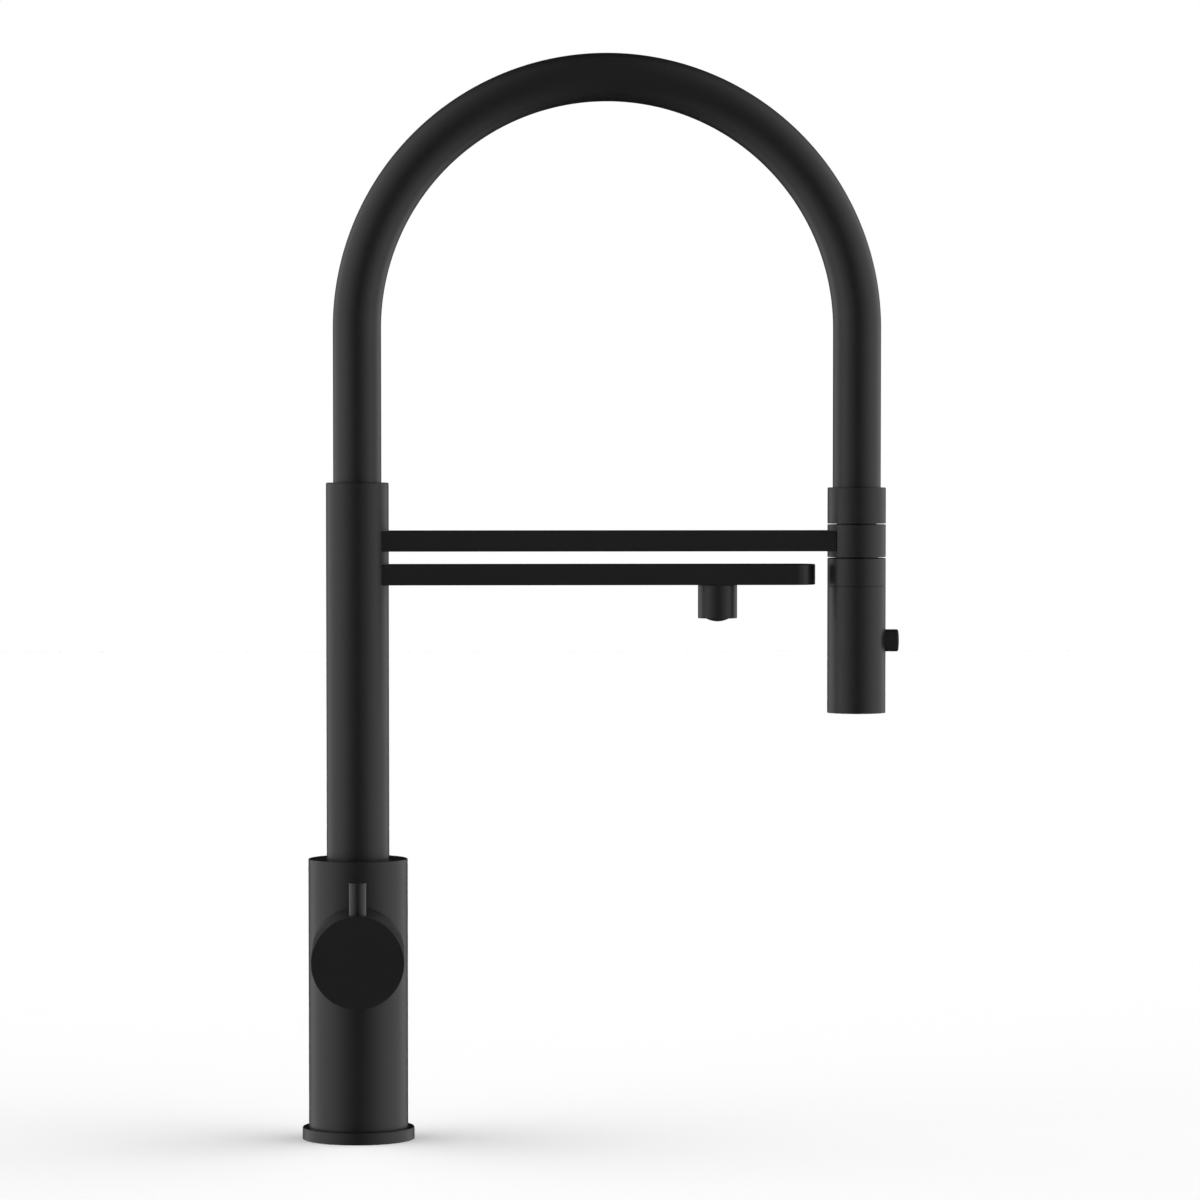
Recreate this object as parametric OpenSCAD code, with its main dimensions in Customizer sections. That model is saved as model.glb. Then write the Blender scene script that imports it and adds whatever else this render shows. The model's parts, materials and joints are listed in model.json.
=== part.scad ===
// Kitchen faucet with a round body and side knob, a tall arched tube with a pull-down
// spray head held by a docking arm, and a second arm below it that ends in an aerator.
// Millimetres. The origin is on the body's axis at the worktop's surface, +Z is up,
// +X runs along the arms, and the knob stands out along -Y.

/* [Fixing to the worktop] */
// Diameter of the base plate
plate_d = 56.4; // [54:0.2:64]
// Height of the base plate
plate_h = 6.1; // [4:0.1:10]
// Thickness of the worktop that is clamped
worktop_t = 30; // [12:1:40]
// Outer diameter of the threaded shank
shank_d = 33; // [32.6:0.1:33.4]
// Wall of the threaded shank
shank_wall = 2; // [1.6:0.1:2]
// How far the shank reaches below the worktop's surface
shank_len = 60; // [56:1:75]
// Outer diameter of the two clamping washers
washer_d = 54; // [50:1:60]
// Thickness of the rubber washer
rubber_t = 3; // [2:0.5:4]
// Thickness of the steel washer
steel_t = 2.5; // [1.5:0.5:3]
// Height of the lock nut
nut_h = 12; // [8:1:13]
// Size across the lock nut's flats
nut_flats = 42; // [40:1:44]

/* [Body] */
// Diameter of the body
body_d = 50; // [49.5:0.1:53]
// Wall of the body's outer sleeve
sleeve_wall = 2.2; // [1.6:0.1:2.4]
// Height of the knob's axis above the base plate
knob_rise = 89.9; // [60:0.1:140]
// Distance from the knob's axis up to the body's top
knob_to_top = 45.6; // [44:0.1:70]
// Metal left between the valve's bores
core_wall = 3.6; // [3:0.1:4]
// Thread radius of the three hose ports, before the thread is cut
port_r = 3.5; // [3.2:0.1:3.5]
// Depth of the thread in each port
port_len = 10; // [8:1:14]

/* [Knob and cartridge] */
// Diameter of the knob and of the fixed collar behind it
knob_d = 46.1; // [45.6:0.1:48]
// Distance from the body's axis to the knob's front face
knob_reach = 75; // [72:0.5:84]
// Length of the part of the knob that turns
knob_len = 30.4; // [28:0.1:31]
// Diameter of the pin lever
pin_d = 8.5; // [7:0.1:10]
// Height of the pin lever above the knob's axis
pin_top = 38.6; // [32:0.1:60]
// Distance from the knob's front face to the pin's axis
pin_inset = 11.5; // [9:0.1:13]
// Diameter of the ceramic cartridge
cartridge_d = 35; // [34:0.5:35.5]

/* [Post and arch] */
// Diameter of the post
post_d = 31.5; // [30.4:0.1:32]
// Wall of the post
post_wall = 1.8; // [1.4:0.1:2]
// Height of the post above the body
post_h = 189.1; // [160:0.1:260]
// Diameter of the arched tube
tube_d = 24.3; // [23:0.05:24.5]
// Wall of the arched tube
tube_wall = 1.9; // [1.5:0.1:2.1]
// Distance from the post's axis to the spray head's axis
reach = 251.4; // [220:0.1:300]
// Straight height of the tube between the post's top and the arch
leg_h = 77.3; // [60:0.1:140]
// How far the tube is set into the post
tube_set = 19.7; // [14:0.1:22]
// How far the spout turns to each side
swivel_half = 75; // [45:1:80]

/* [Arms] */
// Height of both arms
arm_h = 10.35; // [9.5:0.05:12]
// Depth of both arms, front to back
arm_w = 20.15; // [19:0.05:21.5]
// Distance from the post's top down to the docking arm's underside
dock_drop = 34.5; // [33:0.1:50]
// Gap between the two arms
arm_gap = 6.55; // [5:0.05:14]
// Wall of the hollow arms
arm_wall = 1.6; // [1.2:0.1:1.9]
// Gap between the spout arm's tip and the spray head
tip_gap = 6.2; // [4:0.1:20]
// Distance from the spout arm's tip back to the aerator's axis
outlet_inset = 49.3; // [22:0.1:90]
// Diameter of the aerator's housing
aerator_d = 19.75; // [18.6:0.05:20]
// Height of the aerator's housing below the arm
aerator_h = 16.9; // [15:0.1:24]
// Diameter of the aerator's nozzle
nozzle_d = 10.1; // [8:0.1:12]
// How far the aerator's nozzle stands below its housing
nozzle_out = 1.7; // [0.8:0.1:3]

/* [Docking ring and spray head] */
// Diameter of the spray head, the docking ring and the tube's collar
head_d = 29.4; // [28.6:0.1:31]
// Height of the docking ring
ring_h = 16.4; // [12:0.1:20]
// Height of the collar at the tube's end
collar_h = 18.1; // [14:0.1:26]
// Gap above and below the docking ring
ring_gap = 0.5; // [0.4:0.1:1.2]
// Diameter of the spigots that meet inside the docking ring
spigot_d = 20; // [19.6:0.1:20.4]
// Length of the spray head below its docking ring
head_len = 78.1; // [76:0.1:100]
// Height of the spray head's upper section
head_top_h = 14; // [13.6:0.1:18]
// Wall of the spray head's shell
shell_wall = 1.4; // [1.2:0.1:1.4]
// Height of the button's axis above the spray head's lower end
button_rise = 36.5; // [30:0.1:45]
// Diameter of the button
button_d = 11.2; // [10:0.05:12]
// How far the button stands out of the spray head
button_out = 6.4; // [4.5:0.05:9]
// How far the button is pressed in
button_travel = 3.5; // [2.5:0.1:3.5]
// How far the spray head pulls down in this model
pull_travel = 90; // [40:1:90]

/* [Hoses and pipe] */
// Outer diameter of the spray hose
hose_d = 10.4; // [9.6:0.1:10.6]
// Bore of the spray hose
hose_bore_d = 6.4; // [6:0.1:6.8]
// Outer diameter of the pipe that feeds the aerator
pipe_d = 6; // [5:0.1:6.2]
// Wall of the pipe that feeds the aerator
pipe_wall = 1; // [0.8:0.1:1.2]

/* [Clearances] */
// Radial clearance of a running fit
running = 0.05; // [0.02:0.01:0.08]
// Clearance of parts that are fixed together
seat = 0.05; // [0.02:0.01:0.1]
// Clearance of parts that move past each other freely
free = 0.3; // [0.2:0.05:0.4]
// Bevel on the visible edges
bevel = 0.5; // [0.2:0.1:0.8]

/* [Hidden] */
$fn = 96;

black = "#1d1d1e";
black_plastic = "#161617";
brass = "#b39a57";
steel = "#b9bcbf";
rubber = "#202020";
white_plastic = "#e3e1da";
grey_plastic = "#7d8084";
ceramic = "#f1eee6";

// Radii
plate_r = plate_d / 2;
shank_r = shank_d / 2;
shank_bore_r = shank_r - shank_wall;
body_r = body_d / 2;
sleeve_bore_r = body_r - sleeve_wall;
block_r = sleeve_bore_r - seat;
knob_r = knob_d / 2;
pin_r = pin_d / 2;
cartridge_r = cartridge_d / 2;
post_r = post_d / 2;
post_bore_r = post_r - post_wall;
tube_r = tube_d / 2;
tube_bore_r = tube_r - tube_wall;
head_r = head_d / 2;
spigot_r = spigot_d / 2;
shell_bore_r = head_r - shell_wall;
button_r = button_d / 2;
hose_r = hose_d / 2;
hose_bore_r = hose_bore_d / 2;
pipe_r = pipe_d / 2;
aerator_r = aerator_d / 2;
nozzle_r = nozzle_d / 2;

// Worktop fixing
seal_w = 4;
seal_t = 1.6;
seal_in_r = plate_r - 6.5;
thread_set = 10;
shank_top = plate_h + thread_set;
rubber_z = -worktop_t - rubber_t;
steel_z = rubber_z - steel_t;
nut_z = steel_z - nut_h;

// Heights up the body
knob_z = plate_h + knob_rise;
body_top = knob_z + knob_to_top;
way_r = hose_r + 0.7;
cartridge_bore_r = cartridge_r + 0.1;
chamber_z = knob_z + cartridge_bore_r + core_wall;
chamber_h = 2.4;
seal_land = 7;
spigot_z = chamber_z + chamber_h;
swivel_seal_t = 1.8;
swivel_seal_z = [spigot_z + swivel_seal_t + 0.1, spigot_z + seal_land - swivel_seal_t - 0.3];
bush_z = spigot_z + seal_land;
post_z = bush_z + 1.5;
block_top = body_top - sleeve_wall - seat;
bush_wall = 2.5;
bush_r = post_r + running + bush_wall;
screw_z = (bush_z + block_top) / 2;
screw_r = 2.5;
screw_tip_r = 1.9;
slot_floor_r = post_r - 1.35;
slot_middle = 90;
slot_half = swivel_half + asin((screw_tip_r + 0.25) / slot_floor_r);

// The nose that takes the hose through the water chamber
nose_wall = 1.3;
nose_r = way_r + nose_wall;
nose_len = 9;
nose_seal_t = 1;

// Ports and drillings in the valve block
port_at = way_r + 1.35 + port_r;
inlet_turn = 20;
hot_angle = 180 + inlet_turn;
cold_angle = -inlet_turn;
spray_angle = 90;
drill_r = 2.4;
rise_r = drill_r - 0.4;
drill_past = rise_r + 0.6;
inlet_x = port_at * cos(inlet_turn);
inlet_y = -port_at * sin(inlet_turn);
inlet_drop = 4;
outlet_x = 9.6;
outlet_y = -5.5;
outlet_lift = 6.6;
diverter_r = 3.2;
diverter_at = nose_r + running + nose_seal_t + 0.4 + diverter_r;
diverter_floor = chamber_z - 16.6;
diverter_seat_t = 2;
piston_len = 5;
piston_r = diverter_r - free;

// Along the knob's axis, counted from the body's axis
cartridge_back = way_r + core_wall;
cartridge_len = 26.4;
cartridge_front = cartridge_back + cartridge_len;
neck_r = cartridge_r - 3.9;
neck_front = cartridge_front + 8;
boss_wall = 2.9;
boss_r = cartridge_bore_r + boss_wall;
boss_front = cartridge_front + 7.5;
nut_thread_r = cartridge_bore_r + 1.2;
knob_back = knob_reach - knob_len;
collar_front = knob_back - 0.6;
guard_wall = 1.8;
guard_len = 2;
base_t = 4;
fixed_t = 4.5;
moving_t = 4;
carrier_t = 5;
disc_r = cartridge_r - 3.1;
pocket_from = 20;
pocket_to = 147;
branch_from = -98;
branch_to = -58;
fixed_z = cartridge_back + base_t;
moving_z = fixed_z + fixed_t + seat;
carrier_z = moving_z + moving_t;
cavity_front = carrier_z + carrier_t + free;
shaft_r = 6;
stem_r = 4;
socket_r = 7;
socket_front = knob_reach - 6;
socket_back = knob_reach - 19;
knob_cavity_r = knob_r - 2.15;
stem_front = socket_front - 4;
screw_at = knob_reach - 13;
knob_screw_r = 2.05;
knob_screw_len = 10;
plug_r = 2.9;
plug_t = 3.5;
pin_at = knob_reach - pin_inset;
pin_foot = knob_r - 1.05;
pin_thread_r = 3;
pin_thread_len = 9.5;

// Post, arch and arms
post_top = body_top + post_h;
arch_z = post_top + leg_h;
tube_foot = post_top - tube_set;
socket_lip = 2;
dock_z = post_top - dock_drop;
spout_z = dock_z - arm_gap - arm_h;
tip_x = reach - head_r - tip_gap;
tip_r = arm_w / 2;
aerator_x = tip_x - outlet_inset;
pipe_at = way_r + 0.4 + pipe_r;
pipe_z = spout_z + arm_h / 2 + 0.35;
pipe_foot = spigot_z + 18.5;
spigot_top = spigot_z + 26.5;
plug_bore_r = pipe_r - 0.6;

// Docking ring, collar and spray head
ring_z = dock_z + arm_h / 2 - ring_h / 2;
ring_top = ring_z + ring_h;
collar_z = ring_top + ring_gap;
collar_top = collar_z + collar_h;
collar_lip = 2.4;
head_z1 = ring_z - ring_gap;
head_z0 = head_z1 - head_len;
seam_z = head_z1 - head_top_h;
bush_out_r = spigot_r + running + 1.95;
spigot_meet = ring_z + ring_h / 2;
tube_spigot_z = spigot_meet + 0.3;
head_spigot_top = spigot_meet - 0.4;
hose_way_r = hose_r + 1.4;

// Hose end, from the nut downwards
ferrule_wall = 0.65;
ferrule_r = hose_r + seat + ferrule_wall;
nut_shoulder = head_z1 - 5.45;
flange_t = 3.5;
flange_top = nut_shoulder - 0.1;
flange_z = flange_top - flange_t;
flange_r = 8.6;
washer_t = 1.6;
inlet_top = flange_z - 0.1 - washer_t;
inlet_r = 9.15;
nut_skirt_r = shell_bore_r - 0.1;
head_lid = 2;
ferrule_top = spigot_meet + 4.6;
pull_top = arch_z - 0.8;

// Spray head, upwards from its lower end
face_in = 0.8;
face_t = 3.6;
mat_t = 1;
face_z = head_z0 + face_in;
mat_z = face_z + face_t;
housing_z = mat_z + mat_t;
housing_r = shell_bore_r - 0.1;
spray_room = 2;
button_z = head_z0 + button_rise;
channel_r = 2;
spool_bore_r = 3;
spool_r = spool_bore_r - running;
spool_in = 6.5;
waist_r = 1.2;
waist_from = channel_r + 0.1;
waist_len = 4.5;
pocket_floor = 9;
pocket_r = button_r + 0.2;
cap_back = shell_bore_r - 0.5;
cap_front = head_r + button_out;
cap_bore_r = button_r - 1.2;
cap_face_t = 1.8;
spring_room = cap_front - cap_face_t - button_travel - pocket_floor;
stream_r = 4;

// A rod along Z between two heights, with a bevel at each end
module rod(r, z0, z1, b0 = 0, b1 = 0) {
  low = b0 > 0 ? [[r - b0, z0], [r, z0 + b0]] : [[r, z0]];
  high = b1 > 0 ? [[r, z1 - b1], [r - b1, z1]] : [[r, z1]];
  rotate_extrude()
    polygon(concat([[0, z0]], low, high, [[0, z1]]));
}

// A plain bore to cut along Z between two heights
module bore(r, z0, z1) {
  translate([0, 0, z0])
    cylinder(r = r, h = z1 - z0);
}

// A ring along Z between two heights
module ring(r_out, r_in, z0, z1, b0 = 0, b1 = 0) {
  difference() {
    rod(r_out, z0, z1, b0, b1);
    bore(r_in, z0 - 1, z1 + 1);
  }
}

// A round seal lying flat, whose outer edge touches a radius
module seal_outside(r_out, thick, z) {
  translate([0, 0, z])
    rotate_extrude()
      translate([r_out - thick / 2, 0])
        circle(d = thick, $fn = 24);
}

// A slice of a disc between two angles, counted from +X
module slice(r, from, to) {
  polygon(concat([[0, 0]], [for (k = [0:8]) r * [cos(from + k * (to - from) / 8), sin(from + k * (to - from) / 8)]]));
}

// Puts its children's +Z along the knob's axis, towards the knob's front
module on_knob_axis() {
  translate([0, 0, knob_z])
    rotate([90, 0, 0])
      children();
}

// Puts its children's +Z along +X at a height
module along_x(z) {
  translate([0, 0, z])
    rotate([0, 90, 0])
      children();
}

// Puts its children on the spray head's axis
module on_head() {
  translate([reach, 0, 0])
    children();
}

// An arm's section, beveled at its four corners, drawn from x0 to x1
module arm_bar(x0, x1, z) {
  half = arm_w / 2;
  translate([x0, 0, z])
    rotate([90, 0, 90])
      linear_extrude(x1 - x0)
        polygon([
          [-half + bevel, 0], [half - bevel, 0], [half, bevel], [half, arm_h - bevel],
          [half - bevel, arm_h], [-half + bevel, arm_h], [-half, arm_h - bevel], [-half, bevel]
        ]);
}

// The hollow in an arm, open towards the post
module arm_hollow(x1, z) {
  half = arm_w / 2 - arm_wall;
  translate([post_bore_r, -half, z + arm_wall])
    cube([x1 - post_bore_r, 2 * half, arm_h - 2 * arm_wall]);
}

// The bent run of a tube: up the post's axis, round the arch and down to the head's axis
module arch_run(r, post_end, head_end) {
  bore(r, post_end, arch_z);
  translate([reach / 2, 0, arch_z])
    rotate([90, 0, 0])
      rotate_extrude(angle = 180)
        translate([reach / 2, 0])
          circle(r);
  on_head()
    bore(r, head_end, arch_z);
}

// Fixing to the worktop

module base_plate() {
  color(black)
    difference() {
      rod(plate_r, 0, plate_h, bevel / 2, bevel);
      bore(shank_r + seat, -1, plate_h + 1);
      ring(seal_in_r + seal_w, seal_in_r, -1, seal_t);
    }
}

module base_seal() {
  color(rubber)
    ring(seal_in_r + seal_w - seat, seal_in_r + seat, 0, seal_t);
}

module mounting_shank() {
  color(brass)
    ring(shank_r, shank_bore_r, -shank_len, shank_top, 1, 0);
}

module rubber_washer() {
  color(rubber)
    ring(washer_d / 2, shank_r + 0.4, rubber_z, -worktop_t);
}

module steel_washer() {
  color(steel)
    ring(washer_d / 2, shank_r + 0.4, steel_z, rubber_z);
}

module lock_nut() {
  color(brass)
    difference() {
      intersection() {
        translate([0, 0, nut_z])
          rotate([0, 0, 30])
            cylinder(r = nut_flats / sqrt(3), h = nut_h, $fn = 6);
        rod(nut_flats / sqrt(3) - 0.3, nut_z, steel_z, 1.2, 0);
      }
      bore(shank_r + seat, nut_z - 1, steel_z + 1);
    }
}

// Body

module body_sleeve() {
  color(black)
    difference() {
      rod(body_r, plate_h, body_top, 0, bevel);
      bore(sleeve_bore_r, plate_h - 1, body_top - sleeve_wall);
      bore(post_r + free, body_top - sleeve_wall - 1, body_top + 1);
      on_knob_axis()
        bore(boss_r + seat, 0, body_r + 1);
      translate([0, 0, screw_z])
        rotate([-90, 0, 0])
          bore(screw_r + 0.1, 0, body_r + 1);
    }
}

// One hose port: a threaded mouth and the narrower drilling that rises from it
module port(angle, top) {
  rotate([0, 0, angle])
    translate([port_at, 0, 0]) {
      bore(port_r, shank_top - 0.1, shank_top + port_len);
      bore(rise_r, shank_top, top);
    }
}

module valve_block() {
  color(brass)
    difference() {
      union() {
        rod(block_r, plate_h, block_top);
        on_knob_axis()
          rod(boss_r, 0, boss_front);
      }
      bore(shank_r + seat, plate_h - 1, shank_top);
      bore(way_r, plate_h, chamber_z + 1);
      bore(nose_r + running, spigot_z - nose_len - 0.5, chamber_z + 1);
      ring(nose_r + running + nose_seal_t, nose_r - 1, chamber_z - 4, chamber_z - 2.8);
      bore(post_r, chamber_z, bush_z + 1);
      bore(bush_r + seat, bush_z, block_top + 1);
      on_knob_axis() {
        bore(cartridge_bore_r, cartridge_back, boss_front + 1);
        bore(nut_thread_r, cartridge_front, boss_front + 1);
        for (side = [-1, 1])
          translate([side * inlet_x, -inlet_drop, 0])
            bore(drill_r, -inlet_y - drill_past, cartridge_back + 1);
        translate([outlet_x, outlet_lift, 0])
          bore(drill_r, -outlet_y - drill_past, cartridge_back + 1);
      }
      port(hot_angle, knob_z - inlet_drop);
      port(cold_angle, knob_z - inlet_drop);
      port(spray_angle, diverter_floor + 1);
      translate([outlet_x, outlet_y, 0])
        bore(rise_r, knob_z + outlet_lift, chamber_z + 1);
      translate([0, diverter_at, 0])
        bore(diverter_r, diverter_floor, chamber_z + 1);
      translate([0, 0, screw_z])
        rotate([-90, 0, 0])
          bore(screw_r, post_r, block_r + 1);
    }
}

module swivel_bush() {
  color(white_plastic)
    difference() {
      ring(bush_r, post_r + running, bush_z, block_top);
      translate([0, 0, screw_z])
        rotate([-90, 0, 0])
          bore(screw_r + 0.1, 0, bush_r + 1);
    }
}

module swivel_screw() {
  color(steel)
    translate([0, 0, screw_z])
      rotate([-90, 0, 0])
        difference() {
          union() {
            bore(screw_r - seat, post_r + 0.5, body_r - 2.4);
            bore(screw_tip_r, slot_floor_r + 0.2, post_r + 1);
          }
          translate([0, 0, body_r - 4.6])
            cylinder(r = 1.45, h = 3, $fn = 6);
        }
}

module hose_seal() {
  color(rubber)
    ring(nose_r + running + nose_seal_t - seat, nose_r + running, chamber_z - 3.95, chamber_z - 2.85);
}

// Cartridge and the parts that hold it

// The collar's lip reaches into the knob, so that nothing shows through the slit between them
module cartridge_collar() {
  color(black)
    difference() {
      on_knob_axis()
        difference() {
          union() {
            rod(knob_r, 0, collar_front, 0, bevel / 2);
            rod(boss_r, collar_front - 1, collar_front + guard_len, 0, 0.2);
          }
          bore(boss_r + seat, -1, boss_front + seat);
          bore(boss_r - guard_wall, boss_front, collar_front + guard_len + 1);
        }
      bore(body_r, knob_z - 2 * knob_r, knob_z + 2 * knob_r);
    }
}

module cartridge_ports(r, z0, z1) {
  for (side = [-1, 1])
    translate([side * inlet_x, -inlet_drop, 0])
      bore(r, z0, z1);
  translate([outlet_x, outlet_lift, 0])
    bore(r, z0, z1);
}

module cartridge_body() {
  color(grey_plastic)
    on_knob_axis()
      difference() {
        union() {
          rod(cartridge_r, cartridge_back + seat, cartridge_front);
          rod(neck_r, cartridge_front - 1, neck_front, 0, 0.5);
        }
        bore(disc_r + free, fixed_z, cavity_front);
        bore(shaft_r + running, cavity_front - 1, neck_front + 1);
        cartridge_ports(drill_r, cartridge_back - 1, fixed_z + 1);
        cartridge_ports(drill_r + 1, cartridge_back - 1, cartridge_back + 1.6);
      }
}

module cartridge_seals() {
  color(rubber)
    on_knob_axis()
      difference() {
        cartridge_ports(drill_r + 1 - seat, cartridge_back + seat, cartridge_back + 1.6 - seat);
        cartridge_ports(drill_r - 0.3, cartridge_back - 1, cartridge_back + 3);
      }
}

module fixed_disc() {
  color(ceramic)
    on_knob_axis()
      difference() {
        bore(disc_r + free - 0.1, fixed_z, fixed_z + fixed_t);
        cartridge_ports(drill_r, fixed_z - 1, fixed_z + fixed_t + 1);
      }
}

module cartridge_nut() {
  color(brass)
    on_knob_axis()
      difference() {
        ring(nut_thread_r - seat, neck_r + seat, cartridge_front, boss_front - 0.5);
        for (turn = [0, 90])
          rotate([0, 0, turn])
            translate([-cartridge_r * 1.2, -2, boss_front - 3])
              cube([cartridge_r * 2.4, 4, 4]);
      }
}

// Pressure diverter at the back of the valve block

module diverter_seat() {
  color(brass)
    translate([0, diverter_at, 0])
      ring(diverter_r - seat, 1.6, chamber_z - diverter_seat_t, chamber_z);
}

module diverter_piston() {
  color(white_plastic)
    translate([0, diverter_at, 0]) {
      top = chamber_z - diverter_seat_t - 0.05;
      bore(piston_r, top - piston_len, top);
      bore(1.3, top - piston_len - 2.5, top - piston_len);
    }
}

module diverter_spring() {
  color(steel)
    translate([0, diverter_at, 0])
      ring(diverter_r - 0.15, 1.9, diverter_floor, chamber_z - diverter_seat_t - 0.05 - piston_len);
}

// What turns with the knob

module moving_disc() {
  color(ceramic)
    on_knob_axis()
      difference() {
        bore(disc_r, moving_z, carrier_z);
        translate([0, 0, moving_z - 1])
          linear_extrude(1 + moving_t / 2) {
            circle(4);
            slice(disc_r - 1, pocket_from, pocket_to);
            slice(disc_r - 1, branch_from, branch_to);
          }
      }
}

module cartridge_stem() {
  color(brass)
    on_knob_axis() {
      bore(disc_r, carrier_z, carrier_z + carrier_t);
      bore(shaft_r, carrier_z + carrier_t - 1, neck_front);
      rod(stem_r, neck_front - 1, stem_front, 0, 0.5);
    }
}

module knob_adapter() {
  color(white_plastic)
    on_knob_axis()
      difference() {
        ring(socket_r - seat, stem_r + seat, socket_back, stem_front + 1);
        translate([0, 0, screw_at])
          rotate([90, 0, 0])
            bore(knob_screw_r + 0.15, 0, socket_r + 1);
      }
}

module knob() {
  color(black)
    on_knob_axis()
      difference() {
        rod(knob_r, knob_back, knob_reach, bevel / 2, bevel);
        bore(knob_cavity_r, knob_back - 1, socket_back);
        bore(socket_r, socket_back - 1, socket_front);
        translate([0, 0, screw_at])
          rotate([90, 0, 0]) {
            bore(knob_screw_r + seat, 0, knob_r + 1);
            bore(plug_r, knob_r - plug_t, knob_r + 1);
          }
        translate([0, 0, pin_at])
          rotate([-90, 0, 0]) {
            bore(pin_thread_r, pin_foot - pin_thread_len - 0.2, knob_r + 1);
            bore(pin_r + seat, pin_foot, knob_r + 1);
          }
      }
}

module pin_lever() {
  color(black)
    on_knob_axis()
      translate([0, 0, pin_at])
        rotate([-90, 0, 0]) {
          rod(pin_r, pin_foot, pin_top, 0, bevel * 0.8);
          bore(pin_thread_r - seat, pin_foot - pin_thread_len, pin_foot);
        }
}

module knob_screw() {
  color(steel)
    on_knob_axis()
      translate([0, 0, screw_at])
        rotate([90, 0, 0])
          difference() {
            bore(knob_screw_r, stem_r + 0.05, stem_r + 0.05 + knob_screw_len);
            translate([0, 0, stem_r + knob_screw_len - 2.4])
              cylinder(r = 1.2, h = 4, $fn = 6);
          }
}

module knob_plug() {
  color(black_plastic)
    on_knob_axis()
      intersection() {
        translate([0, 0, screw_at])
          rotate([90, 0, 0])
            bore(plug_r - seat, knob_r - plug_t, knob_r + 1);
        bore(knob_r, knob_back, knob_reach);
      }
}

// Post and arch

module swivel_spigot() {
  color(brass)
    difference() {
      union() {
        rod(post_r - running, spigot_z, post_z, 0.3, 0);
        bore(post_bore_r - seat, post_z - 1, spigot_top);
        bore(nose_r, spigot_z - nose_len, spigot_z + 1);
      }
      bore(way_r, spigot_z - nose_len - 1, spigot_top + 1);
      translate([pipe_at, 0, 0]) {
        bore(plug_bore_r, spigot_z - 1, pipe_foot + 1);
        bore(pipe_r + seat, pipe_foot, spigot_top + 1);
      }
      for (z = swivel_seal_z)
        ring(post_r + 1, post_r - swivel_seal_t - seat, z - swivel_seal_t / 2 - seat, z + swivel_seal_t / 2 + seat);
    }
}

module swivel_seals() {
  color(rubber)
    for (z = swivel_seal_z)
      seal_outside(post_r - running / 2, swivel_seal_t, z);
}

module riser_post() {
  color(black)
    difference() {
      rod(post_r, post_z, post_top, 0, bevel * 1.4);
      bore(post_bore_r, post_z - 1, post_top + 1);
      intersection() {
        ring(post_r + 1, slot_floor_r, screw_z - screw_tip_r - 0.2, screw_z + screw_tip_r + 0.2);
        translate([0, 0, screw_z - 5])
          linear_extrude(10)
            slice(post_d, slot_middle - slot_half, slot_middle + slot_half);
      }
      along_x(pipe_z)
        bore(pipe_r + 0.25, 0, post_r + 1);
    }
}

module tube_socket() {
  color(black)
    difference() {
      rod(post_bore_r - seat, tube_foot - socket_lip, post_top - 0.2);
      bore(tube_r + seat, tube_foot, post_top + 1);
      bore(tube_bore_r, tube_foot - socket_lip - 1, post_top);
    }
}

module arch_tube() {
  color(black)
    difference() {
      arch_run(tube_r, tube_foot, collar_z + collar_lip);
      arch_run(tube_bore_r, tube_foot - 1, collar_z + collar_lip - 1);
    }
}

module tube_collar() {
  color(black)
    on_head()
      difference() {
        rod(head_r, collar_z, collar_top, bevel / 2, bevel);
        bore(tube_r + seat, collar_z + collar_lip, collar_top + 1);
        bore(spigot_r + seat, collar_z - 1, collar_top);
      }
}

module tube_spigot() {
  lip_top = collar_z + collar_lip;
  core_r = min(spigot_r, tube_bore_r) - 1;
  color(black)
    on_head()
      difference() {
        union() {
          rod(spigot_r, tube_spigot_z, lip_top, 0.3, 0);
          bore(tube_bore_r - seat, lip_top, lip_top + 13.5);
          bore(core_r, lip_top - 1, lip_top + 1);
        }
        bore(hose_way_r, tube_spigot_z - 1, lip_top + 15);
      }
}

// Arms

module docking_arm() {
  color(black)
    difference() {
      union() {
        arm_bar(0, reach, dock_z);
        on_head()
          rod(head_r, ring_z, ring_top, bevel / 2, bevel / 2);
      }
      bore(post_r, dock_z - 1, dock_z + arm_h + 1);
      arm_hollow(reach - head_r - 2, dock_z);
      on_head()
        bore(bush_out_r, ring_z - 1, ring_top + 1);
    }
}

module dock_bush() {
  color(black_plastic)
    on_head()
      ring(bush_out_r - seat, spigot_r + running, ring_z, ring_top, 0.2, 0.2);
}

module spout_arm() {
  color(black)
    difference() {
      union() {
        arm_bar(0, tip_x - tip_r, spout_z);
        translate([tip_x - tip_r, 0, 0])
          rod(tip_r, spout_z, spout_z + arm_h, bevel, bevel);
      }
      bore(post_r, spout_z - 1, spout_z + arm_h + 1);
      arm_hollow(aerator_x + pipe_r + 4, spout_z);
      translate([aerator_x, 0, 0])
        bore(aerator_r - 2.7 + seat, spout_z - 1, spout_z + arm_wall + 0.5);
    }
}

module outlet_pipe() {
  color(white_plastic)
    difference() {
      pipe_run(pipe_r, pipe_foot + 0.2, spout_z + 0.4);
      pipe_run(pipe_r - pipe_wall, pipe_foot - 1, spout_z - 1);
    }
}

// The pipe's route: up inside the post, along the spout arm and down to the aerator
module pipe_run(r, foot, mouth) {
  translate([pipe_at, 0, 0])
    bore(r, foot, pipe_z);
  translate([pipe_at, 0, pipe_z])
    sphere(r);
  along_x(pipe_z)
    bore(r, pipe_at, aerator_x);
  translate([aerator_x, 0, pipe_z])
    sphere(r);
  translate([aerator_x, 0, 0])
    bore(r, mouth, pipe_z);
}

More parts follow.
